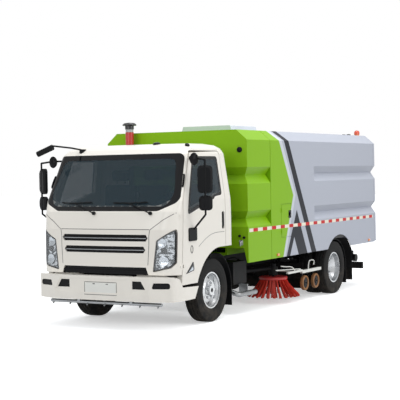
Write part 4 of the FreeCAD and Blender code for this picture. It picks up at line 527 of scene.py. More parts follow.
# The CAD nodes of each finish; in names of nodes and bodies a * stands for the side's word.
NODE_FINISH: dict[str, str] = {
    "chassis_black": "frame springs front_axle driveline underrun side_tanks arm_brackets tank_frame "
                     "gate_hinges cylinder_barrel nozzle knuckle_* brush_arm_*",
    "black_plastic": "mudguards bumper_inserts rear_lamps wipers front_mirror mirror_*",
    "cab_paint": "bumper cab_shell door_*",
    "dash_plastic": "dash seat_frames",
    "zinc_steel": "spray_bar exhaust",
    "tank_paint": "tank_shell hatch",
    "rim_silver": "front_rim_* rear_rim_*",
    "tyre": "front_tyre_* rear_tyre_*",
    "caster_tan": "caster_front_* caster_rear_*",
    "cast_grey": "engines", "housing_paint": "front_section", "intake_paint": "intake",
    "rubber": "suction_pipe", "screen_glass": "cab_glass", "gloss_black": "grille",
    "lamp_glass": "headlamps", "seat_cloth": "seats",
    "silver_paint": "tailgate", "roof_grey": "roof_box", "amber_lens": "tank_lamps",
    "bright_steel": "cylinder_rod", "door_glass": "door_glass_*", "bristle_red": "brush_*",
}


def dress_nodes(finishes: Finishes) -> None:
    """Gives every CAD node its finish."""
    for finish, nodes in NODE_FINISH.items():
        for side in Side:
            for node in nodes.replace("*", side.label).split():
                wear(node, finishes[finish])


class Shape:
    """Vertices and faces that can be joined, moved and mirrored before they become a piece."""

    def __init__(self, vertices: Array, faces: Sequence[Sequence[int]]) -> None:
        """Keeps the vertices as one array and the faces as lists of their numbers."""
        self.vertices = np.asarray(vertices, float).reshape(-1, 3)
        self.faces = list(faces)

    def __add__(self, other: "Shape") -> "Shape":
        """Both shapes as one."""
        return joined([self, other])

    def moved(self, x: float, y: float, z: float) -> "Shape":
        """The shape carried by an offset."""
        return Shape(self.vertices + np.array([x, y, z]), self.faces)

    def turned_over(self) -> "Shape":
        """The same surface with its faces looking the other way."""
        return Shape(self.vertices, [face[::-1] for face in self.faces])

    def on_side(self, side: Side) -> "Shape":
        """The shape as made for the left, or its mirror image with its faces still outwards."""
        if side is Side.LEFT:
            return self
        return Shape(self.vertices * np.array([1, -1, 1]), self.faces).turned_over()

    def facing(self, axis: str) -> "Shape":
        """The surface with its first face looking along an axis."""
        corners = self.vertices[list(self.faces[0])]
        normal = np.cross(corners[1] - corners[0], corners[2] - corners[1])
        return self if normal["xyz".index(axis)] > 0 else self.turned_over()


def joined(shapes: Sequence[Shape]) -> Shape:
    """One shape of many: vertices stacked, and each one's faces shifted by those before it."""
    starts = np.cumsum([0] + [len(shape.vertices) for shape in shapes[:-1]])
    pairs = zip(shapes, starts.tolist())
    faces = [[index + start for index in face] for shape, start in pairs for face in shape.faces]
    return Shape(np.vstack([shape.vertices for shape in shapes]), faces)


def around(steps: int) -> Array:
    """Angles once round, in even steps."""
    return np.linspace(0, 2 * np.pi, steps, endpoint=False)


def quads(rows: int, columns: int, wrap_rows: bool, wrap_columns: bool) -> Array:
    """Vertex numbers of the quads over a grid, as an array of quads by 4."""
    r = np.arange(rows if wrap_rows else rows - 1)
    c = np.arange(columns if wrap_columns else columns - 1)
    r, c = np.meshgrid(r, c, indexing="ij")
    r2, c2 = (r + 1) % rows, (c + 1) % columns
    around = [r * columns + c, r2 * columns + c, r2 * columns + c2, r * columns + c2]
    return np.stack(around, axis=-1).reshape(-1, 4)


def enclosed(vertices: Array, faces: Array) -> float:
    """Six times the volume inside quads, counted positive when they look outwards."""
    a, b, c, d = (vertices[faces[:, i]] for i in range(4))
    first = np.einsum("ij,ij->i", a, np.cross(b, c))
    second = np.einsum("ij,ij->i", a, np.cross(c, d))
    return float(np.sum(first) + np.sum(second))


def solid(points: Array, ring: bool = False) -> Shape:
    """A closed form from a stack of loops.

    Args:
        points: rows by columns by 3; each row is a loop.
        ring: joins the last row to the first, as on a tyre; otherwise a polygon closes each end.

    Returns:
        The form with its faces outwards; the sign of the volume about its own middle decides.
    """
    rows, columns = points.shape[:2]
    sides = quads(rows, columns, ring, True)
    vertices = points.reshape(-1, 3)
    centred = vertices - vertices.mean(axis=0)
    faces = sides.tolist()
    volume = enclosed(centred, sides)
    if not ring:
        ends = (np.arange(columns), (rows - 1) * columns + np.arange(columns)[::-1])
        faces += [end.tolist() for end in ends]
        for end in ends:
            fan = np.stack([np.full(columns - 2, end[0]), end[1:-1], end[2:], end[2:]], axis=-1)
            volume += enclosed(centred, fan)
    made = Shape(vertices, faces)
    return made if volume > 0 else made.turned_over()


def tube(path: Sequence[Sequence[float]], radius: float, sides: int = 10) -> Shape:
    """A round bar along a path: rings of cosine and sine across it, set by the clearest of seven guides."""
    line = np.asarray(path, float)
    along = np.gradient(line, axis=0)
    along /= np.linalg.norm(along, axis=1)[:, None]
    guides = np.array([(1, 0, 0), (0, 1, 0), (0, 0, 1), (1, 1, 1), (1, -1, 1), (-1, 1, 1), (1, 1, -1)], float)
    guides /= np.linalg.norm(guides, axis=1)[:, None]
    clear = np.linalg.norm(np.cross(along[None], guides[:, None]), axis=2).min(axis=1)
    across = np.cross(along, guides[int(np.argmax(clear))])
    across /= np.linalg.norm(across, axis=1)[:, None]
    up = np.cross(along, across)
    turn = around(sides)
    ring = np.cos(turn)[None, :, None] * across[:, None] + np.sin(turn)[None, :, None] * up[:, None]
    return solid(line[:, None] + radius * ring)


def smooth_path(points: Sequence[Sequence[float]], steps: int = 8) -> Array:
    """A rounded run through corner points: a quadratic B-spline sampled evenly, with its own ends."""
    corners = np.asarray(points, float)
    padded = np.vstack([2 * corners[0] - corners[1], corners, 2 * corners[-1] - corners[-2]])
    a, b, c = (part[:, None] for part in (padded[:-2], padded[1:-1], padded[2:]))
    t = np.linspace(0, 1, steps, endpoint=False)[None, :, None]
    curve = (1 - t) ** 2 * (a + b) / 2 + 2 * t * (1 - t) * b + t ** 2 * (b + c) / 2
    curve = curve.reshape(-1, corners.shape[1])
    half = steps // 2
    return np.vstack([corners[:1], curve[half + 1:len(curve) - half], corners[-1:]])


def lathe(
    profile: Sequence[Spot], centre: Sequence[float], axis: str = "y", sides: int = 48
) -> Shape:
    """A turned form.

    Args:
        profile: (radius, height along the axis) pairs, from one end to the other.
        centre: the point on the axis that heights are counted from.
        axis: "x", "y" or "z".
        sides: how many steps go round.

    Returns:
        Rings of the profile's radii round the axis; one polygon closes each end.
    """
    shape = np.asarray(profile, float)
    turn = around(sides)
    radius, height = np.maximum(shape[:, :1], 1e-5), np.broadcast_to(shape[:, 1:2], (len(shape), sides))
    first, second = radius * np.cos(turn), radius * np.sin(turn)
    order = {"x": (height, first, second), "y": (second, height, first), "z": (first, second, height)}[axis]
    return solid(np.stack(order, axis=-1) + np.asarray(centre, float))


def rounded(corners: Sequence[Spot], radius: float) -> Array:
    """A closed outline with round corners: each becomes a quadratic arc between points set back from it."""
    points = np.asarray(corners, float)
    before, after = np.roll(points, 1, axis=0) - points, np.roll(points, -1, axis=0) - points
    before /= np.linalg.norm(before, axis=1)[:, None]
    after /= np.linalg.norm(after, axis=1)[:, None]
    t = np.linspace(0, 1, 5)[None, :, None]
    first, last = (points + before * radius)[:, None], (points + after * radius)[:, None]
    arc = (1 - t) ** 2 * first + 2 * t * (1 - t) * points[:, None] + t ** 2 * last
    return arc.reshape(-1, 2)


def oblong(low: Sequence[float], high: Sequence[float], radius: float) -> Array:
    """A rectangle's outline between two corners, with round corners of its own."""
    (u0, v0), (u1, v1) = low, high
    return rounded([(u0, v0), (u1, v0), (u1, v1), (u0, v1)], radius)


def oval(u: float, v: float, long: float, wide: float) -> Array:
    """An oval's outline about a middle: its half lengths times cosine and sine."""
    turn = around(36)
    return np.stack([u + long * np.cos(turn), v + wide * np.sin(turn)], 1)


def dense(outline: Sequence[Sequence[float]], step: float = 0.03, closed: bool = False) -> Array:
    """A line or closed outline with points added so that none is further than a step from the next."""
    points = np.asarray(outline, float)
    ahead = np.roll(points, -1, axis=0) - points
    ahead = ahead if closed else ahead[:-1]
    count = np.maximum(1, np.ceil(np.linalg.norm(ahead, axis=1) / step)).astype(int)
    owner = np.repeat(np.arange(len(ahead)), count)
    part = (np.arange(len(owner)) - np.repeat(np.cumsum(count) - count, count)) / count[owner]
    made = points[owner] + ahead[owner] * part[:, None]
    return made if closed else np.vstack([made, points[-1:]])


def lifted(outline: Array, axis: str, at: float) -> Array:
    """Points of an outline in the two other axes, placed at a value along the axis."""
    return np.insert(np.asarray(outline, float), "xyz".index(axis), at, axis=1)


def slab(outline: Array, low: float, high: float, axis: str = "x", edge: float = 0.0) -> Shape:
    """A plate.

    Args:
        outline: (first, second) pairs in the two other axes, in X, Y, Z order.
        low: where it starts along its axis.
        high: where it ends.
        axis: the axis of its thickness.
        edge: how far its rims are drawn in, as a small bevel.

    Returns:
        Loops of the outline along the axis, closed at both ends.
    """
    flat = np.asarray(outline, float)
    middle = (flat.max(axis=0) + flat.min(axis=0)) / 2
    small = middle + (flat - middle) * (1 - 2 * edge / np.ptp(flat, axis=0))
    levels = [(small, low), (flat, low + edge), (flat, high - edge), (small, high)]
    levels = levels if edge else levels[1:3]
    return solid(np.stack([lifted(loop, axis, level) for loop, level in levels]))


def box(low: Sequence[float], high: Sequence[float], edge: float = 0.003) -> Shape:
    """A bevelled block between two corners."""
    (x0, y0, z0), (x1, y1, z1) = low, high
    return slab(np.array([(y0, z0), (y1, z0), (y1, z1), (y0, z1)]), x0, x1, "x", edge)


def drawn(outline: Array, parts: Sequence[float], at: float, axis: str = "x") -> Shape:
    """A flat sheet: loops of an outline drawn in towards its middle by parts, and a polygon in the last."""
    flat = np.asarray(outline, float)
    middle = flat.mean(axis=0)
    part = np.asarray(parts)[:, None, None]
    loops = np.insert(middle + (flat - middle) * part, "xyz".index(axis), at, axis=2)
    faces = quads(len(parts), len(flat), False, True).tolist()
    faces.append(((len(parts) - 1) * len(flat) + np.arange(len(flat))[::-1]).tolist())
    return Shape(loops, faces).facing(axis)


def sheet(outline: Array, rings: int, at: float, axis: str = "x") -> Shape:
    """A flat sheet inside an outline, with loops at even steps."""
    return drawn(outline, np.linspace(1.0, 0.05, rings + 1), at, axis)


def band(outline: Array, width: float, at: float, axis: str = "x") -> Shape:
    """A flat closed band inside an outline: loops drawn in by even steps up to its width."""
    flat = np.asarray(outline, float)
    middle = (flat.max(axis=0) + flat.min(axis=0)) / 2
    part = 1 - (width / (np.ptp(flat, axis=0) / 2)) * np.linspace(0, 1, 3)[:, None, None]
    loops = np.insert(middle + (flat - middle) * part, "xyz".index(axis), at, axis=2)
    return Shape(loops, quads(3, len(flat), False, True).tolist()).facing(axis)


def ribbon(line: Sequence[Spot], width: float, at: float, axis: str = "x") -> Shape:
    """A flat strip along a line of points in the two other axes, half its width to each side."""
    points = np.asarray(line, float)
    along = np.gradient(points, axis=0)
    along /= np.linalg.norm(along, axis=1)[:, None]
    off = np.stack([-along[:, 1], along[:, 0]], axis=1) * width / 2
    rows = np.stack([lifted(points + off * part, axis, at) for part in (-1, 0, 1)])
    return Shape(rows, quads(3, len(points), False, False).tolist()).facing(axis)


def piece(
    name: str, shape: Shape, material: bpy.types.Material, body: str, smooth: float = 35.0
) -> bpy.types.Object:
    """Makes a piece that rides on a body.

    Args:
        name: the piece's name.
        shape: its form, in the truck's frame.
        material: its finish.
        body: the CAD body that carries it.
        smooth: edges sharper than this angle in degrees stay sharp.

    Returns:
        The new object.
    """
    mesh = bpy.data.meshes.new(name)
    mesh.from_pydata(shape.vertices.tolist(), [], shape.faces)
    mesh.update()
    made = bpy.data.objects.new(name, mesh)
    bpy.context.collection.objects.link(made)
    mesh.materials.append(material)
    mesh.shade_smooth()
    mesh.set_sharp_from_angle(angle=math.radians(smooth))
    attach(made, body)
    LOG.info("%s: %d faces on %s", name, len(shape.faces), body)
    return made


def coordinates(made: bpy.types.Object) -> Array:
    """The vertices of a piece as an array."""
    flat = np.empty(len(made.data.vertices) * 3)
    made.data.vertices.foreach_get("co", flat)
    return flat.reshape(-1, 3)


def settled(made: bpy.types.Object) -> bpy.types.Object:
    """Bakes a piece's modifiers into its mesh, so none is left live."""
    view = bpy.context.evaluated_depsgraph_get()
    mesh = bpy.data.meshes.new_from_object(made.evaluated_get(view))
    made.modifiers.clear()
    made.data = mesh
    return made


def reshaped(made: bpy.types.Object, spots: Array) -> None:
    """Moves a piece's vertices to new places."""
    made.data.vertices.foreach_set("co", spots.ravel())
    made.data.update()


def cast_on(made: bpy.types.Object, node: str, axis: str = "x", lift: float = 0.0) -> None:
    """Casts a sheet both ways along an axis onto a CAD node's skin, and lifts it off by an offset."""
    cast = made.modifiers.new("cast", "SHRINKWRAP")
    cast.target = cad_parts[node]
    cast.wrap_method = "PROJECT"
    setattr(cast, f"use_project_{axis}", True)
    cast.use_negative_direction = cast.use_positive_direction = True
    cast.offset = lift


def thicken(made: bpy.types.Object, wall: float, way: float = 1.0) -> bpy.types.Object:
    """Gives a sheet its wall, outwards for a way of 1 and inwards for -1, and bakes its modifiers."""
    solidify = made.modifiers.new("wall", "SOLIDIFY")
    solidify.thickness = wall
    solidify.offset = way
    return settled(made)


@dataclass(frozen=True)
class Fitted:
    """A thin panel on a CAD node's skin: a flat sheet is cast along an axis and given its wall."""

    node: str
    material: bpy.types.Material
    body: str
    axis: str = "x"
    lift: float = 0.0002
    wall: float = 0.0006

    def make(self, name: str, flat: Shape, word: str = "") -> bpy.types.Object:
        """Casts the sheet onto the node and thickens it outwards; the word stands in for a *."""
        made = piece(name, flat, self.material, self.body.replace("*", word))
        cast_on(made, self.node.replace("*", word), self.axis, self.lift)
        return thicken(made, self.wall)

    def both(self, name: str, flat: Shape) -> list[bpy.types.Object]:
        """The panel on the left and its mirror image on the right."""
        return [self.make(f"{name}_{side.label}", flat.on_side(side), side.label) for side in Side]


@dataclass(frozen=True)
class Trim:
    """Pieces that dress one part of the truck."""

    finishes: Finishes

    def both(
        self, name: str, shape: Shape, finish: str, body: str, smooth: float = 35.0, node: str = ""
    ) -> None:
        """Makes a piece and its mirror image.

        Args:
            name: the piece's name, before the side's word.
            shape: the left one's form.
            finish: the name of its finish.
            body: the body that carries it.
            smooth: edges sharper than this angle in degrees stay sharp.
            node: the CAD node that it stands for, if any.
        """
        for side in Side:
            made = piece(f"{name}_{side.label}", shape.on_side(side), self.finishes[finish],
                         body.replace("*", side.label), smooth)
            if node:
                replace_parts(made, node.replace("*", side.label))


def middle_of(node: str) -> Place:
    """The middle of a CAD node's box."""
    low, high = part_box(node)
    return tuple((a + b) / 2 for a, b in zip(low, high))


@dataclass(frozen=True)
class Tyre:
    """A truck tyre with zigzag grooves, shoulder blocks, a bulging wall and bead rings."""

    radius: float = 0.3745
    bead: float = 0.2025
    zigzags: int = 36
    zigzag: float = 0.0035
    groove: float = 0.009
    groove_half: float = 0.0048
    groove_places: tuple[float, ...] = (-0.044, 0.0, 0.044)
    shoulder: float = 0.058
    cut_share: float = 0.25
    cut_depth: float = 0.7
    steps: int = 288

    def profile(self) -> Array:
        """(radius, offset) pairs from one bead over the tread to the other and back inside."""
        bead = self.bead
        wall = np.array([
            (bead + 0.002, 0.06), (bead + 0.012, 0.068), (bead + 0.016, 0.079), (bead + 0.026, 0.083),
            (bead + 0.028, 0.087), (bead + 0.034, 0.0875), (bead + 0.05, 0.0915), (bead + 0.075, 0.0942),
            (bead + 0.094, 0.0942), (bead + 0.099, 0.0925), (bead + 0.104, 0.0938), (bead + 0.125, 0.0912),
            (self.radius - 0.022, 0.0865), (self.radius - 0.008, 0.0825),
        ])
        across = np.linspace(0.078, -0.078, 47)
        crown = self.radius - 0.005 * (across / 0.085) ** 4
        inner = np.array([(bead, -0.045), (bead, 0.045)])
        return np.vstack([wall, np.stack([crown, across], axis=1), wall[::-1] * [1, -1], inner])

    def form(self, x: float, y: float, z: float) -> Shape:
        """The closed tyre about an axle's point: the radius drops in the grooves and cross cuts.

        Args:
            x: the axle's place along X.
            y: the tread's middle.
            z: the axle's height.

        Returns:
            Rows go round the wheel, and columns over the tread and back through the beads.
        """
        profile = self.profile()
        turn = around(self.steps)[:, None]
        radius, across = profile[None, :, 0], profile[None, :, 1]
        wave = self.zigzag * np.sign(np.sin(turn * self.zigzags))
        lines = [np.abs(across - at - wave) < self.groove_half for at in self.groove_places]
        cuts = np.mod(turn * self.zigzags * 2 / (2 * np.pi), 1.0) < self.cut_share
        tread = radius > self.radius - 0.0075
        depth = self.groove * np.any(lines, axis=0)
        depth = depth + self.cut_depth * self.groove * ((np.abs(across) > self.shoulder) & cuts)
        radius = radius - np.minimum(depth, self.groove) * tread
        spots = np.stack([x + radius * np.cos(turn), y + across + 0 * turn, z + radius * np.sin(turn)], -1)
        return solid(spots, True)


@dataclass(frozen=True)
class Wheels(Trim):
    """The road wheels' dressing: treaded tyres, and dark rings behind the front rims' hand holes, as painted
    shade seen through them.
    """

    half: float = 0.095
    sharp: float = 50.0

    def discs(self) -> None:
        """A dark ring across each front rim's inner well: painted shade seen through the hand holes."""
        x, _, z = middle_of("front_tyre_left")
        ring = lathe([(0.072, 0.742), (0.146, 0.742), (0.146, 0.752), (0.072, 0.752)], (x, 0.0, z))
        # painted shade: a gloss black ring where the hand holes show only shade
        self.both("brake_disc", ring, "gloss_black", "front_wheel_*")

    def tyres(self) -> None:
        """Replaces the plain tyres: one in front and a pair behind on each side."""
        front = Tyre().form(*middle_of("front_tyre_left"))
        low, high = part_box("rear_tyre_left")
        x, _, z = middle_of("rear_tyre_left")
        pair = joined([Tyre().form(x, at, z) for at in (low[1] + self.half, high[1] - self.half)])
        self.both("tread_front", front, "tyre", "front_wheel_*", self.sharp, "front_tyre_*")
        self.both("tread_rear", pair, "tyre", "rear_wheels_*", self.sharp, "rear_tyre_*")


@dataclass(frozen=True)
class Brushes(Trim):
    """The side brushes: a painted board and two rings of splayed bristle tufts."""

    tufts: int = 52
    strands: int = 26
    seed: int = 5
    board: float = 0.045
    roots: Spot = (0.172, 0.135)
    inner_short: float = 0.09
    curve: float = 1.25
    thick: float = 0.0046
    taper: float = 0.35

    def strand_loops(self, centre: Place, low: float, reach: float) -> Array:
        """Tapered strands.

        Args:
            centre: the middle of the board's underside.
            low: height of the bristles' tips.
            reach: radius of their tips.

        Returns:
            Strands by loops by corners by 3. A strand runs out along r = r0 + (r1 - r0) t^1.25 while it
            falls evenly, with a seeded spread at its tip; each loop is a triangle across it.
        """
        rng = np.random.default_rng(self.seed)
        count = self.tufts * self.strands
        tuft = np.repeat(np.arange(self.tufts), self.strands)
        outer = tuft % 2 == 0
        angle = 2 * np.pi * tuft / self.tufts
        start, end = angle + rng.uniform(-0.035, 0.035, count), angle + rng.uniform(-0.058, 0.058, count)
        root = np.where(outer, *self.roots) + rng.uniform(-0.008, 0.008, count)
        tip = np.where(outer, reach, reach - self.inner_short) - np.abs(rng.normal(0, 0.014, count))
        tip_z = low + np.abs(rng.normal(0, 0.008, count))
        t = np.linspace(0, 1, 5)[None, :]
        radius = root[:, None] + (tip - root)[:, None] * t ** self.curve
        turn = start[:, None] + (end - start)[:, None] * t
        z = centre[2] + (tip_z - centre[2])[:, None] * t
        spot = np.stack([centre[0] + radius * np.cos(turn), centre[1] + radius * np.sin(turn), z], axis=-1)
        tangent = np.stack([-np.sin(turn), np.cos(turn), 0 * turn], axis=-1)
        outward = np.stack([0.6 * np.cos(turn), 0.6 * np.sin(turn), 0.8 + 0 * turn], axis=-1)
        corner = np.array([0, 2, 4]) * np.pi / 3
        loop = np.cos(corner)[:, None] * tangent[..., None, :]
        loop = loop + np.sin(corner)[:, None] * outward[..., None, :]
        thick = self.thick * (1 - self.taper * t)[..., None, None]
        return spot[..., None, :] + thick * loop

    def bristles(self, centre: Place, low: float, reach: float) -> Shape:
        """All strands as one shape: the first strand's faces, numbered on for the others."""
        loops = self.strand_loops(centre, low, reach)
        count, rows, corners = loops.shape[:3]
        first = solid(loops[0])
        shift = (np.arange(count) * rows * corners)[:, None, None]
        faces = []
        for size in (4, 3):
            group = np.array([face for face in first.faces if len(face) == size])
            faces += (group[None] + shift).reshape(-1, size).tolist()
        return Shape(loops, faces)

    def make(self) -> None:
        """Replaces both brushes."""
        low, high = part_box("brush_left")
        x, y, _ = middle_of("brush_left")
        under, top = high[2] - self.board, high[2]
        disc = lathe([
            (0.0145, under), (0.18, under), (0.19, under + 0.008), (0.192, under + 0.034),
            (0.18, top), (0.07, top), (0.064, top - 0.004), (0.0145, top - 0.004),
        ], (x, y, 0), "z", 64)
        hair = self.bristles((x, y, under + 0.004), low[2] + 0.001, (high[0] - low[0]) / 2 - 0.003)
        self.both("brush_board", disc, "brush_board", "sweep_brush_*", node="brush_*")
        self.both("brush_bristles", hair, "bristle_red", "sweep_brush_*", node="brush_*")


@dataclass(frozen=True)
class Seats(Trim):
    """The driver's seat and the double seat: padded cloth swollen by pressure from slightly smaller forms."""

    places: tuple[tuple[float, float], ...] = ((0.56, 0.25), (-0.06, 0.228), (-0.545, 0.24))
    full_half: float = 0.24
    sewn_half: float = 0.228
    rest_half: float = 0.122
    voxel: float = 0.012
    pressure: float = 4.0
    frames: int = 20

    def forms(self) -> dict[str, tuple[Shape, float]]:
        """Cushion, back and headrest of one place in Y, each with the cap on how far it may swell."""
        cushion = [(1.82, 0.99), (2.272, 1.004), (2.272, 1.096), (1.82, 1.074)]
        back = [(1.72, 0.962), (1.802, 0.962), (1.802, 1.08), (1.754, 1.632), (1.668, 1.632)]
        rest = [(1.671, 1.675), (1.752, 1.675), (1.74, 1.803), (1.664, 1.803)]
        wide, small = self.sewn_half, self.rest_half
        return {
            "cushion": (slab(rounded(cushion, 0.03), -wide, wide, "y", 0.02), 0.012),
            "back": (slab(rounded(back, 0.03), -wide, wide, "y", 0.02), 0.012),
            "headrest": (slab(rounded(rest, 0.025), -small, small, "y", 0.015), 0.008),
        }

    def swollen(self, name: str, form: Shape, cap: float) -> bpy.types.Object:
        """Runs the cloth on a form.

        Args:
            name: the pad's name.
            form: its starting form.
            cap: the furthest that a point may move.

        Returns:
            The new object, with its swollen mesh.
        """
        made = piece(name, form, self.finishes["seat_cloth"], "cab")
        remesh = made.modifiers.new("even", "REMESH")
        remesh.mode = "VOXEL"
        remesh.voxel_size = self.voxel
        settled(made)
        before = coordinates(made)
        cloth = made.modifiers.new("air", "CLOTH")
        cloth.settings.use_pressure = True
        cloth.settings.uniform_pressure_force = self.pressure
        cloth.settings.effector_weights.gravity = 0.0
        scene = bpy.context.scene
        for frame_number in range(1, self.frames + 1):
            scene.frame_set(frame_number)
        settled(made)
        move = coordinates(made) - before
        reach = np.linalg.norm(move, axis=1)[:, None]
        reshaped(made, before + move * np.minimum(1.0, cap / np.maximum(reach, 1e-9)))
        scene.frame_set(1)
        return made

    def make(self) -> None:
        """Makes each pad once and widens copies of it for the other places."""
        for name, (form, cap) in self.forms().items():
            model = self.swollen(f"{name}_1", form, cap)
            base = coordinates(model)
            for number, (middle, half) in enumerate(self.places, 1):
                made = model if number == 1 else model.copy()
                if number > 1:
                    made.data = model.data.copy()
                    made.modifiers.clear()
                    made.name = f"{name}_{number}"
                    bpy.context.collection.objects.link(made)
                    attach(made, "cab")
                width = half / self.full_half if name != "headrest" else 1.0
                reshaped(made, base * np.array([1, width, 1]) + np.array([0, middle, 0]))
                made.data.shade_smooth()
                soft = made.modifiers.new("soft", "SUBSURF")
                soft.levels = soft.render_levels = 1
                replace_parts(made, "seats")


@dataclass(frozen=True)
class Cab(Trim):
    """The cab's dressing: lamps, grille bars, plate, seam lines, handles and mirror glass."""

    far_x: float = 3.2
    far_y: float = 1.3
    far_z: float = 2.6
    lamp: tuple[Spot, ...] = (
        (0.651, 0.664), (0.695, 1.006), (0.763, 1.046), (0.896, 1.125), (0.904, 1.085), (0.898, 0.765),
        (0.853, 0.712),
    )
    inward: Place = (-0.75, -0.66, 0.0)

    def way(self, side: Side) -> Array:
        """The direction into a headlamp."""
        return np.array(self.inward) * np.array([1, side.value, 1])

    def cast(self, name: str, flat: Shape, finish: str) -> bpy.types.Object:
        """A sheet cast back onto the headlamps' front, without a wall."""
        made = piece(name, flat, self.finishes[finish], "cab")
        cast_on(made, "headlamps")
        return settled(made)

    def headlamps(self) -> None:
        """Replaces each solid headlamp with a bright bowl, a black rim and a clear cover."""
        outline = dense(rounded(self.lamp, 0.014), 0.012, True)
        depths = np.array([0.0, 0.004, 0.02, 0.026, 0.027, 0.027, 0.027])
        bowl_sheet = drawn(outline, (1.0, 0.97, 0.94, 0.86, 0.6, 0.3, 0.05), self.far_x)
        parts = []
        for side in Side:
            bowl = self.cast(f"lamp_bowl_{side.label}", bowl_sheet.on_side(side), "lamp_chrome")
            sink = np.repeat(depths, len(outline))[:, None] * self.way(side)
            reshaped(bowl, coordinates(bowl) + sink - [0.001, 0, 0])
            parts.append(thicken(bowl, 0.0015, -1.0))
        rim = Fitted("headlamps", self.finishes["gloss_black"], "cab", "x", -0.0012, 0.0018)
        cover = Fitted("headlamps", self.finishes["lamp_glass"], "cab", "x", -0.0008, 0.0016)
        parts += rim.both("lamp_rim", band(outline, 0.013, self.far_x))
        parts += cover.both("lamp_cover", sheet(outline, 10, self.far_x))
        for part in parts:
            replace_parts(part, "headlamps")

    def lamp_cores(self) -> None:
        """A dark projector lens between two round reflectors inside each headlamp."""
        places = ((0.792, 0.9, 0.036, True), (0.765, 0.985, 0.052, False), (0.782, 0.782, 0.056, False))
        for side in Side:
            for number, (y, z, radius, lens) in enumerate(places, 1):
                flat = sheet(oval(y, z, radius, radius), 8, self.far_x).on_side(side)
                finish = "lamp_dark" if lens else "lamp_mirror"
                made = self.cast(f"lamp_core_{number}_{side.label}", flat, finish)
                spots = coordinates(made)
                far = np.linalg.norm(spots[:, 1:] - [side.value * y, z], axis=1) / radius
                dome = np.sqrt(np.clip(1 - far ** 2, 0, 1))
                sink = 0.021 - 0.016 * dome if lens else 0.008 + 0.016 * (1 - far ** 2)
                reshaped(made, spots + sink[:, None] * self.way(side))
                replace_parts(thicken(made, 0.001, -1.0), "headlamps")

    def front_panel(self) -> None:
        """Bright bars in the grille's slots, and the hood's seam lines on the front panel."""
        bar = Fitted("grille", self.finishes["zinc_steel"], "cab", "x", 0.0008, 0.004)
        for name, z, half in (("upper", 1.034, 0.566), ("lower", 0.902, 0.536)):
            bar.make(f"grille_bar_{name}", ribbon(dense([(-half, z), (half, z)], 0.02), 0.009, self.far_x))
        seam = Fitted("cab_shell", self.finishes["seam_dark"], "cab")
        seam.make("hood_seam", ribbon(dense([(-0.604, 1.134), (0.604, 1.134)]), 0.006, self.far_x))
        corner = dense([(0.9, 1.318), (0.83, 1.275), (0.76, 1.235), (0.612, 1.13), (0.6, 1.06), (0.6, 0.96),
                        (0.586, 0.735)])
        seam.both("panel_seam", ribbon(corner, 0.006, self.far_x))

    def plate(self) -> None:
        """A blank plate in the bumper's recess, with four slots and a painted shadow line round it."""
        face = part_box("bumper")[1][0] - 0.004
        plate = slab(oblong((-0.213, 0.4), (0.213, 0.531), 0.006), face - 0.012, face + 0.0032, "x", 0.001)
        piece("blank_plate", plate, self.finishes["bar_white"], "chassis")
        # Painted shadow: a grey line round the plate, where its edges cast shade on the bumper.
        edge = Fitted("bumper", self.finishes["crease_grey"], "chassis")
        line = dense([(-0.219, 0.394), (0.219, 0.394), (0.219, 0.537), (-0.219, 0.537), (-0.219, 0.394)])
        edge.make("plate_edge", ribbon(line, 0.008, self.far_x))
        slots = [slab(oblong((y - 0.016, z - 0.004), (y + 0.016, z + 0.004), 0.003), face, face + 0.0036)
                 for y in (-0.09, 0.09) for z in (0.414, 0.517)]
        piece("plate_slots", joined(slots), self.finishes["gloss_black"], "chassis")

    def handles(self) -> None:
        """Black recess linings, grips, key plates and a grey line of painted shade along the doors' crease.
        """
        cup = slab(oblong((1.744, 1.092), (1.8, 1.294), 0.018), 0.9172, 0.9215, "y")
        bar = slab(oblong((1.757, 1.117), (1.787, 1.273), 0.012), 0.9225, 0.938, "y", 0.003)
        key = slab(rounded([(1.623, 1.042), (1.74, 1.046), (1.74, 1.074), (1.623, 1.07)], 0.008),
                   0.9168, 0.922, "y", 0.001)
        self.both("door_grip", cup + bar, "gloss_black", "cab_door_*")
        self.both("door_key", key, "zinc_steel", "cab_door_*")
        curve = smooth_path([(2.36, 0.916), (2.245, 0.977), (2.124, 1.026), (2.004, 1.053), (1.86, 1.058),
                             (1.745, 1.056)], 6)
        # Painted shade: a grey line along the door's crease.
        crease = Fitted("door_*", self.finishes["crease_grey"], "cab_door_*", "y")
        crease.both("door_crease", ribbon(curve, 0.006, self.far_y, "y"))

    def side_lamps(self) -> None:
        """The indicator in its three-cornered bezel and the oval ring ahead of each door."""
        bezel = dense(rounded([(2.47, 0.655), (2.66, 0.625), (2.49, 0.76)], 0.02), 0.01, True)
        lens = dense(rounded([(2.49, 0.662), (2.6, 0.645), (2.5, 0.71)], 0.015), 0.008, True)
        dark = Fitted("door_*", self.finishes["seam_dark"], "cab_door_*", "y", 0.0005, 0.003)
        dark.both("indicator_bezel", sheet(bezel, 4, self.far_y, "y"))
        dark.both("oval_ring", band(oval(2.52, 0.895, 0.028, 0.045), 0.007, self.far_y, "y"))
        glass = Fitted("door_*", self.finishes["lamp_mirror"], "cab_door_*", "y", 0.003, 0.004)
        glass.both("indicator_lens", sheet(lens, 3, self.far_y, "y"))

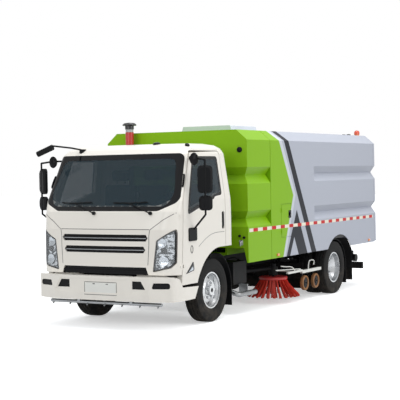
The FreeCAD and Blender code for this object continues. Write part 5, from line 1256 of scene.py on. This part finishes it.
    def mirror_glass(self) -> None:
        """Silvered glass behind both toed-in mirror heads, and a round close-view mirror on their arm."""
        bar = np.array([2.553, 1.14, 0.0])
        heads = ((-0.0432, 1.542, 1.828, 0.073, 30.0), (-0.0412, 1.347, 1.488, 0.063, 20.0))
        glasses = []
        for back, low, high, half, degrees in heads:
            glass = slab(oblong((-half, low), (half, high), 0.036), back - 0.0016, back + 0.0008)
            turn = np.array(Matrix.Rotation(math.radians(degrees), 3, "Z"))
            glasses.append(Shape(glass.vertices @ turn.T + bar, glass.faces))
        self.both("mirror_glass", joined(glasses), "mirror_silver", "cab_door_*")
        bowl = lathe([(0.04, -0.026), (0.05, -0.022), (0.055, -0.004), (0.052, 0.004), (0.036, 0.014),
                      (0.001, 0.018)], (0.0, 0.0, 0.0), "x", 32)
        bowl = Shape(bowl.vertices * np.array([1, 1, 1.3]), bowl.faces).moved(2.527, 0.985, 1.915)
        stem = tube([(2.503, 1.0, 1.925), (2.515, 0.99, 1.915)], 0.009)
        self.both("round_mirror", bowl + stem, "gloss_black", "cab_door_*")

    def grab_bars(self) -> None:
        """A black grab handle up each windscreen pillar."""
        foot, head = np.array([2.651, 0.905, 1.607]), np.array([2.59, 0.889, 1.741])
        out = np.array([0.006, 0.01, 0.0])
        path = smooth_path([foot, foot * 0.95 + head * 0.05 + out, foot * 0.05 + head * 0.95 + out, head], 6)
        self.both("pillar_grab", tube(path, 0.011), "gloss_black", "cab")

    def roof_markers(self) -> None:
        """Two low dark domes on the roof's front."""
        places = ((2.273, 0.338, 0.05, 0.042), (2.335, 0.79, 0.03, 0.026))
        base = Fitted("cab_shell", self.finishes["gloss_black"], "cab", "z", 0.0, 0.008)
        for number, (x, y, long, wide) in enumerate(places, 1):
            dome = base.make(f"roof_marker_{number}", sheet(oval(x, y, long, wide), 6, self.far_z, "z"))
            spots = coordinates(dome)
            far = np.clip(np.hypot((spots[:, 0] - x) / long, (spots[:, 1] - y) / wide), 0, 1)
            spots[:, 2] += 0.016 * np.sqrt(1 - far ** 2)
            reshaped(dome, spots)

    def make(self) -> None:
        """All of the cab's dressing."""
        self.headlamps()
        self.lamp_cores()
        self.front_panel()
        self.plate()
        self.handles()
        self.side_lamps()
        self.mirror_glass()
        self.grab_bars()
        self.roof_markers()


@dataclass(frozen=True)
class Housing(Trim):
    """Small parts on the green housing's front face."""

    def make(self) -> None:
        """A round lamp high up, two studs, and a latch low on each side of the front face."""
        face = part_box("front_section")[1][0]
        lamp = lathe([(0.034, -0.002), (0.034, 0.01), (0.028, 0.016), (0.02, 0.03), (0.001, 0.034)],
                     (face, 0.92, 2.03), "x", 28)
        self.both("housing_lamp", lamp, "black_plastic", "chassis")
        stud = [(0.016, -0.002), (0.016, 0.012), (0.009, 0.016), (0.009, 0.03), (0.001, 0.031)]
        studs = joined([lathe(stud, (face, y, z), "x", 16) for y, z in ((0.905, 0.975), (0.965, 0.955))])
        self.both("housing_studs", studs, "black_plastic", "chassis")
        latch = joined([
            box((face - 0.001, 0.895, 0.862), (face + 0.006, 0.945, 0.925), 0.002),
            tube([(face + 0.012, 0.9, 0.915), (face + 0.016, 0.92, 0.89), (face + 0.012, 0.94, 0.915)],
                 0.005, 8),
            tube([(face + 0.014, 0.92, 0.89), (face + 0.016, 0.92, 0.85)], 0.005, 8),
        ])
        self.both("housing_latch", latch, "bright_steel", "chassis")


@dataclass(frozen=True)
class Tank(Trim):
    """The tank's dressing: hatch lock, beacon lenses, wheel arches and the tailgate's rails."""

    arch: tuple[float, float, float, float] = (-1.56, 0.255, 0.578, 0.788)
    lock: Spot = (0.104, 1.196)
    beacon: Spot = (-2.82, 0.8)
    roof_z: float = 2.279

    def make(self) -> None:
        """All of the tank's dressing."""
        self.hatch_lock()
        self.beacons()
        self.rails()
        self.arches()

    def arches(self) -> None:
        """Wheel arches: a black plate on the tank's side over the arch's opening, which is painted shade of
        the dark space above the tyre, and a liner behind the tyre on the chassis.

        The plate is the part above z = rim of the disc of that radius about (x, z); the liner follows
        x - radius cos(a), z + radius sin(a) down to the flap.
        """
        x, z, radius, rim = self.arch
        half = math.acos((rim - z) / radius)
        upper = np.linspace(-half, half, 40)
        outline = np.stack([x + radius * np.sin(upper), z + radius * np.cos(upper)], 1)
        # Painted shade: the black plate fills the arch's opening, where the space over the tyre is dark.
        self.both("arch_plate", slab(outline, 1.0122, 1.0145, "y"), "gloss_black", "tank")
        turn = np.linspace(math.asin((rim - 0.02 - z) / radius), 0.576, 24)
        run = np.stack([x - radius * np.cos(turn), z + radius * np.sin(turn)], 1)
        run = np.concatenate([run, [[run[-1, 0], 0.14]]])
        inner = run + [0.006, 0.0]
        liner = slab(np.concatenate([run, inner[::-1]]), 0.6, 1.008, "y")
        self.both("arch_liner", liner, "rubber", "chassis")

    def hatch_lock(self) -> None:
        """A black lock plate with a button over the hatch's knob."""
        x, z = self.lock
        plate = slab(oblong((x - 0.04, z - 0.05), (x + 0.04, z + 0.05), 0.01), 1.0202, 1.0235, "y", 0.001)
        button = lathe([(0.024, 1.0236), (0.024, 1.0322), (0.021, 1.034), (0.001, 1.0342)],
                       (x, 0, z), "y", 28)
        piece("hatch_lock", plate + button, self.finishes["gloss_black"], "side_hatch")

    def beacons(self) -> None:
        """Orange domes over the rear beacons."""
        rise = ((0.0415, 0.0185), (0.0428, 0.02), (0.0428, 0.055), (0.036, 0.068), (0.024, 0.0785),
                (0.001, 0.0845))
        dome = lathe([(radius, self.roof_z + up) for radius, up in rise], (*self.beacon, 0), "z", 32)
        self.both("beacon_lens", dome, "beacon_lens", "tank")

    def rails(self) -> None:
        """Grab rails on the tailgate's rear face."""
        rail = tube(smooth_path([(-2.952, 0.9, 0.82), (-2.972, 0.9, 0.84), (-2.966, 0.9, 1.26),
                                 (-2.945, 0.9, 1.28)]), 0.011)
        self.both("gate_rail", rail, "zinc_steel", "tank_door")


@dataclass(frozen=True)
class Gear(Trim):
    """The sweeping gear's dressing: white-painted bars and pipes, hoses, and a dark rubber skirt across the
    nozzle that is also painted shade under the tank.
    """

    hose_run: tuple[Place, ...] = (
        (1.2, 0.62, 0.66), (1.05, 0.7, 0.7), (0.8, 0.66, 0.62), (0.62, 0.5, 0.62),
    )
    hose_radius: float = 0.009

    def hoses(self) -> None:
        """A fixed hydraulic hose on each side, with both of its ends in fittings."""
        path = smooth_path(self.hose_run)
        first, last = path[1] - path[0], path[-1] - path[-2]
        ends = joined([tube([path[0] - first * 0.5, path[0] + first * 1.5], self.hose_radius * 1.5, 6),
                       tube([path[-1] - last * 1.5, path[-1] + last * 0.5], self.hose_radius * 1.5, 6)])
        self.both("side_hose", tube(path, self.hose_radius), "rubber", "chassis")
        self.both("side_hose_ends", ends, "zinc_steel", "chassis")

    def bars(self) -> None:
        """White paint on the nozzle's side bars, and the bar that goes on ahead of it on the brush arm."""
        sleeve = box((-1.002, 0.9305, 0.3745), (-0.378, 0.9695, 0.4135), 0.002)
        bracket = tube(smooth_path([(-0.602, 0.95, 0.41), (-0.61, 0.955, 0.5), (-0.64, 0.955, 0.533),
                                    (-0.8, 0.955, 0.527), (-0.775, 0.955, 0.46)]), 0.008)
        self.both("side_bar_paint", sleeve + bracket, "bar_white", "suction_nozzle")
        ahead = joined([
            box((-0.352, 0.955, 0.404), (0.1, 0.985, 0.43), 0.003),
            box((-0.19, 0.69, 0.41), (-0.165, 0.96, 0.424), 0.002),
            tube(smooth_path([(-0.34, 0.955, 0.436), (-0.1, 0.952, 0.452), (0.2, 0.95, 0.466),
                              (0.4, 0.95, 0.478)]), 0.007, 8),
            tube(smooth_path([(-0.178, 0.952, 0.42), (-0.09, 0.952, 0.489), (0.1, 0.95, 0.5),
                              (0.25, 0.95, 0.52)]), 0.007, 8),
        ])
        self.both("spray_rail", ahead, "bar_white", "sweep_arm_*")

    def make(self) -> None:
        """All of the gear's dressing."""
        self.bars()
        self.hoses()
        # A dark rubber skirt across the nozzle; it also stands as painted shade, darkening the view under the
        # tank.
        skirt = box((-0.632, 0.1, 0.297), (-0.624, 0.86, 0.49), 0.002)
        self.both("nozzle_skirt", skirt, "rubber", "suction_nozzle")


@dataclass
class Studio:
    """Camera, floor, world and lamps."""

    location: Place = (13.5925, 7.379, 1.7665)
    yaw: float = 3.663
    pitch: float = -0.024
    roll: float = -0.018
    lens: float = 102.28
    shift: tuple[float, float] = (0.0064, -0.00175)
    sky: float = 0.75
    bounce: float = 0.32
    lift: float = 0.45
    reach: float = 60.0
    lamps: tuple[tuple[str, Place, float, float], ...] = (
        ("top", (0.0, 2.0, 11.0), 8.0, 620.0), ("side", (1.0, 12.0, 5.0), 6.0, 470.0),
        ("front", (13.0, -1.0, 5.0), 6.0, 320.0),
    )

    def camera(self) -> None:
        """Aims along yaw and pitch, and rolls about the line of sight."""
        data = bpy.data.cameras.new("view")
        data.lens = self.lens
        data.sensor_width = 36.0
        data.shift_x, data.shift_y = self.shift
        data.clip_end = 200.0
        camera = bpy.data.objects.new("view", data)
        bpy.context.collection.objects.link(camera)
        aim = Vector((
            math.cos(self.pitch) * math.cos(self.yaw),
            math.cos(self.pitch) * math.sin(self.yaw),
            math.sin(self.pitch),
        ))
        turn = aim.to_track_quat("-Z", "Y").to_matrix().to_4x4()
        roll = Matrix.Rotation(self.roll, 4, "Z")
        camera.matrix_world = Matrix.Translation(self.location) @ turn @ roll
        bpy.context.scene.camera = camera

    @staticmethod
    def seen(graph: Graph) -> Link:
        """1 for rays from the camera, mirrors and clear surfaces, which show the white background."""
        sight: Link | None = None
        for name in ("Is Camera Ray", "Is Glossy Ray", "Is Transmission Ray"):
            ray = graph.node("ShaderNodeLightPath", {}, {}, name)
            sight = ray if sight is None else sight.at_least(ray)
        return sight

    def world(self) -> None:
        """White where the background is seen, and a soft grey light elsewhere."""
        world = bpy.data.worlds.new("sky")
        world.use_nodes = True
        graph = Graph("sky", world.node_tree)
        soft = graph.node("ShaderNodeBackground", {}, {"Color": (0.94, 0.97, 1.0), "Strength": self.sky})
        white = graph.node("ShaderNodeBackground", {}, {"Color": (1.0, 1.0, 1.0), "Strength": 1.0})
        graph.close(graph.node("ShaderNodeMixShader", {}, (self.seen(graph), soft, white)))
        bpy.context.scene.world = world

    def floor(self) -> None:
        """A wide floor, white where it is seen, with the truck's shadow, and grey in its bounced light."""
        mesh = bpy.data.meshes.new("floor")
        far = self.reach
        mesh.from_pydata([(-far, -far, 0), (far, -far, 0), (far, far, 0), (-far, far, 0)], [], [(0, 1, 2, 3)])
        floor = bpy.data.objects.new("floor", mesh)
        bpy.context.collection.objects.link(floor)
        graph = Graph("floor")
        pale = graph.mix(graph.noise(40.0), srgb(249, 249, 249), srgb(253, 253, 253))
        seen = self.seen(graph)
        floor.data.materials.append(graph.close(graph.surface({
            "Base Color": graph.mix(seen, (self.bounce,) * 3, pale),
            "Roughness": 0.95, "Specular IOR Level": 0.0,
            "Emission Color": graph.mix(seen, (0.0, 0.0, 0.0), (self.lift,) * 3),
            "Emission Strength": 1.0,
        })))

    def lamp(self, name: str, spot: Place, size: float, power: float) -> None:
        """A square soft lamp that looks at the truck's middle."""
        data = bpy.data.lights.new(name, "AREA")
        data.energy = power
        data.size = size
        lamp = bpy.data.objects.new(name, data)
        bpy.context.collection.objects.link(lamp)
        aim = Vector((0.0, 0.0, 1.0)) - Vector(spot)
        lamp.matrix_world = Matrix.Translation(spot) @ aim.to_track_quat("-Z", "Y").to_matrix().to_4x4()

    def build(self) -> None:
        """Sets the whole stage."""
        self.camera()
        self.world()
        self.floor()
        for lamp in self.lamps:
            self.lamp(*lamp)
        bpy.context.scene.view_settings.view_transform = "Standard"
        LOG.info("studio ready")


def main() -> None:
    """Builds the studio and every part of the truck, in order."""
    logging.basicConfig(level=logging.INFO)
    Studio().build()
    finishes = Finishes()
    dress_nodes(finishes)
    wheels = Wheels(finishes)
    wheels.tyres()
    wheels.discs()
    Brushes(finishes).make()
    Seats(finishes).make()
    Cab(finishes).make()
    Housing(finishes).make()
    Tank(finishes).make()
    Gear(finishes).make()


if __name__ == "__main__":
    main()
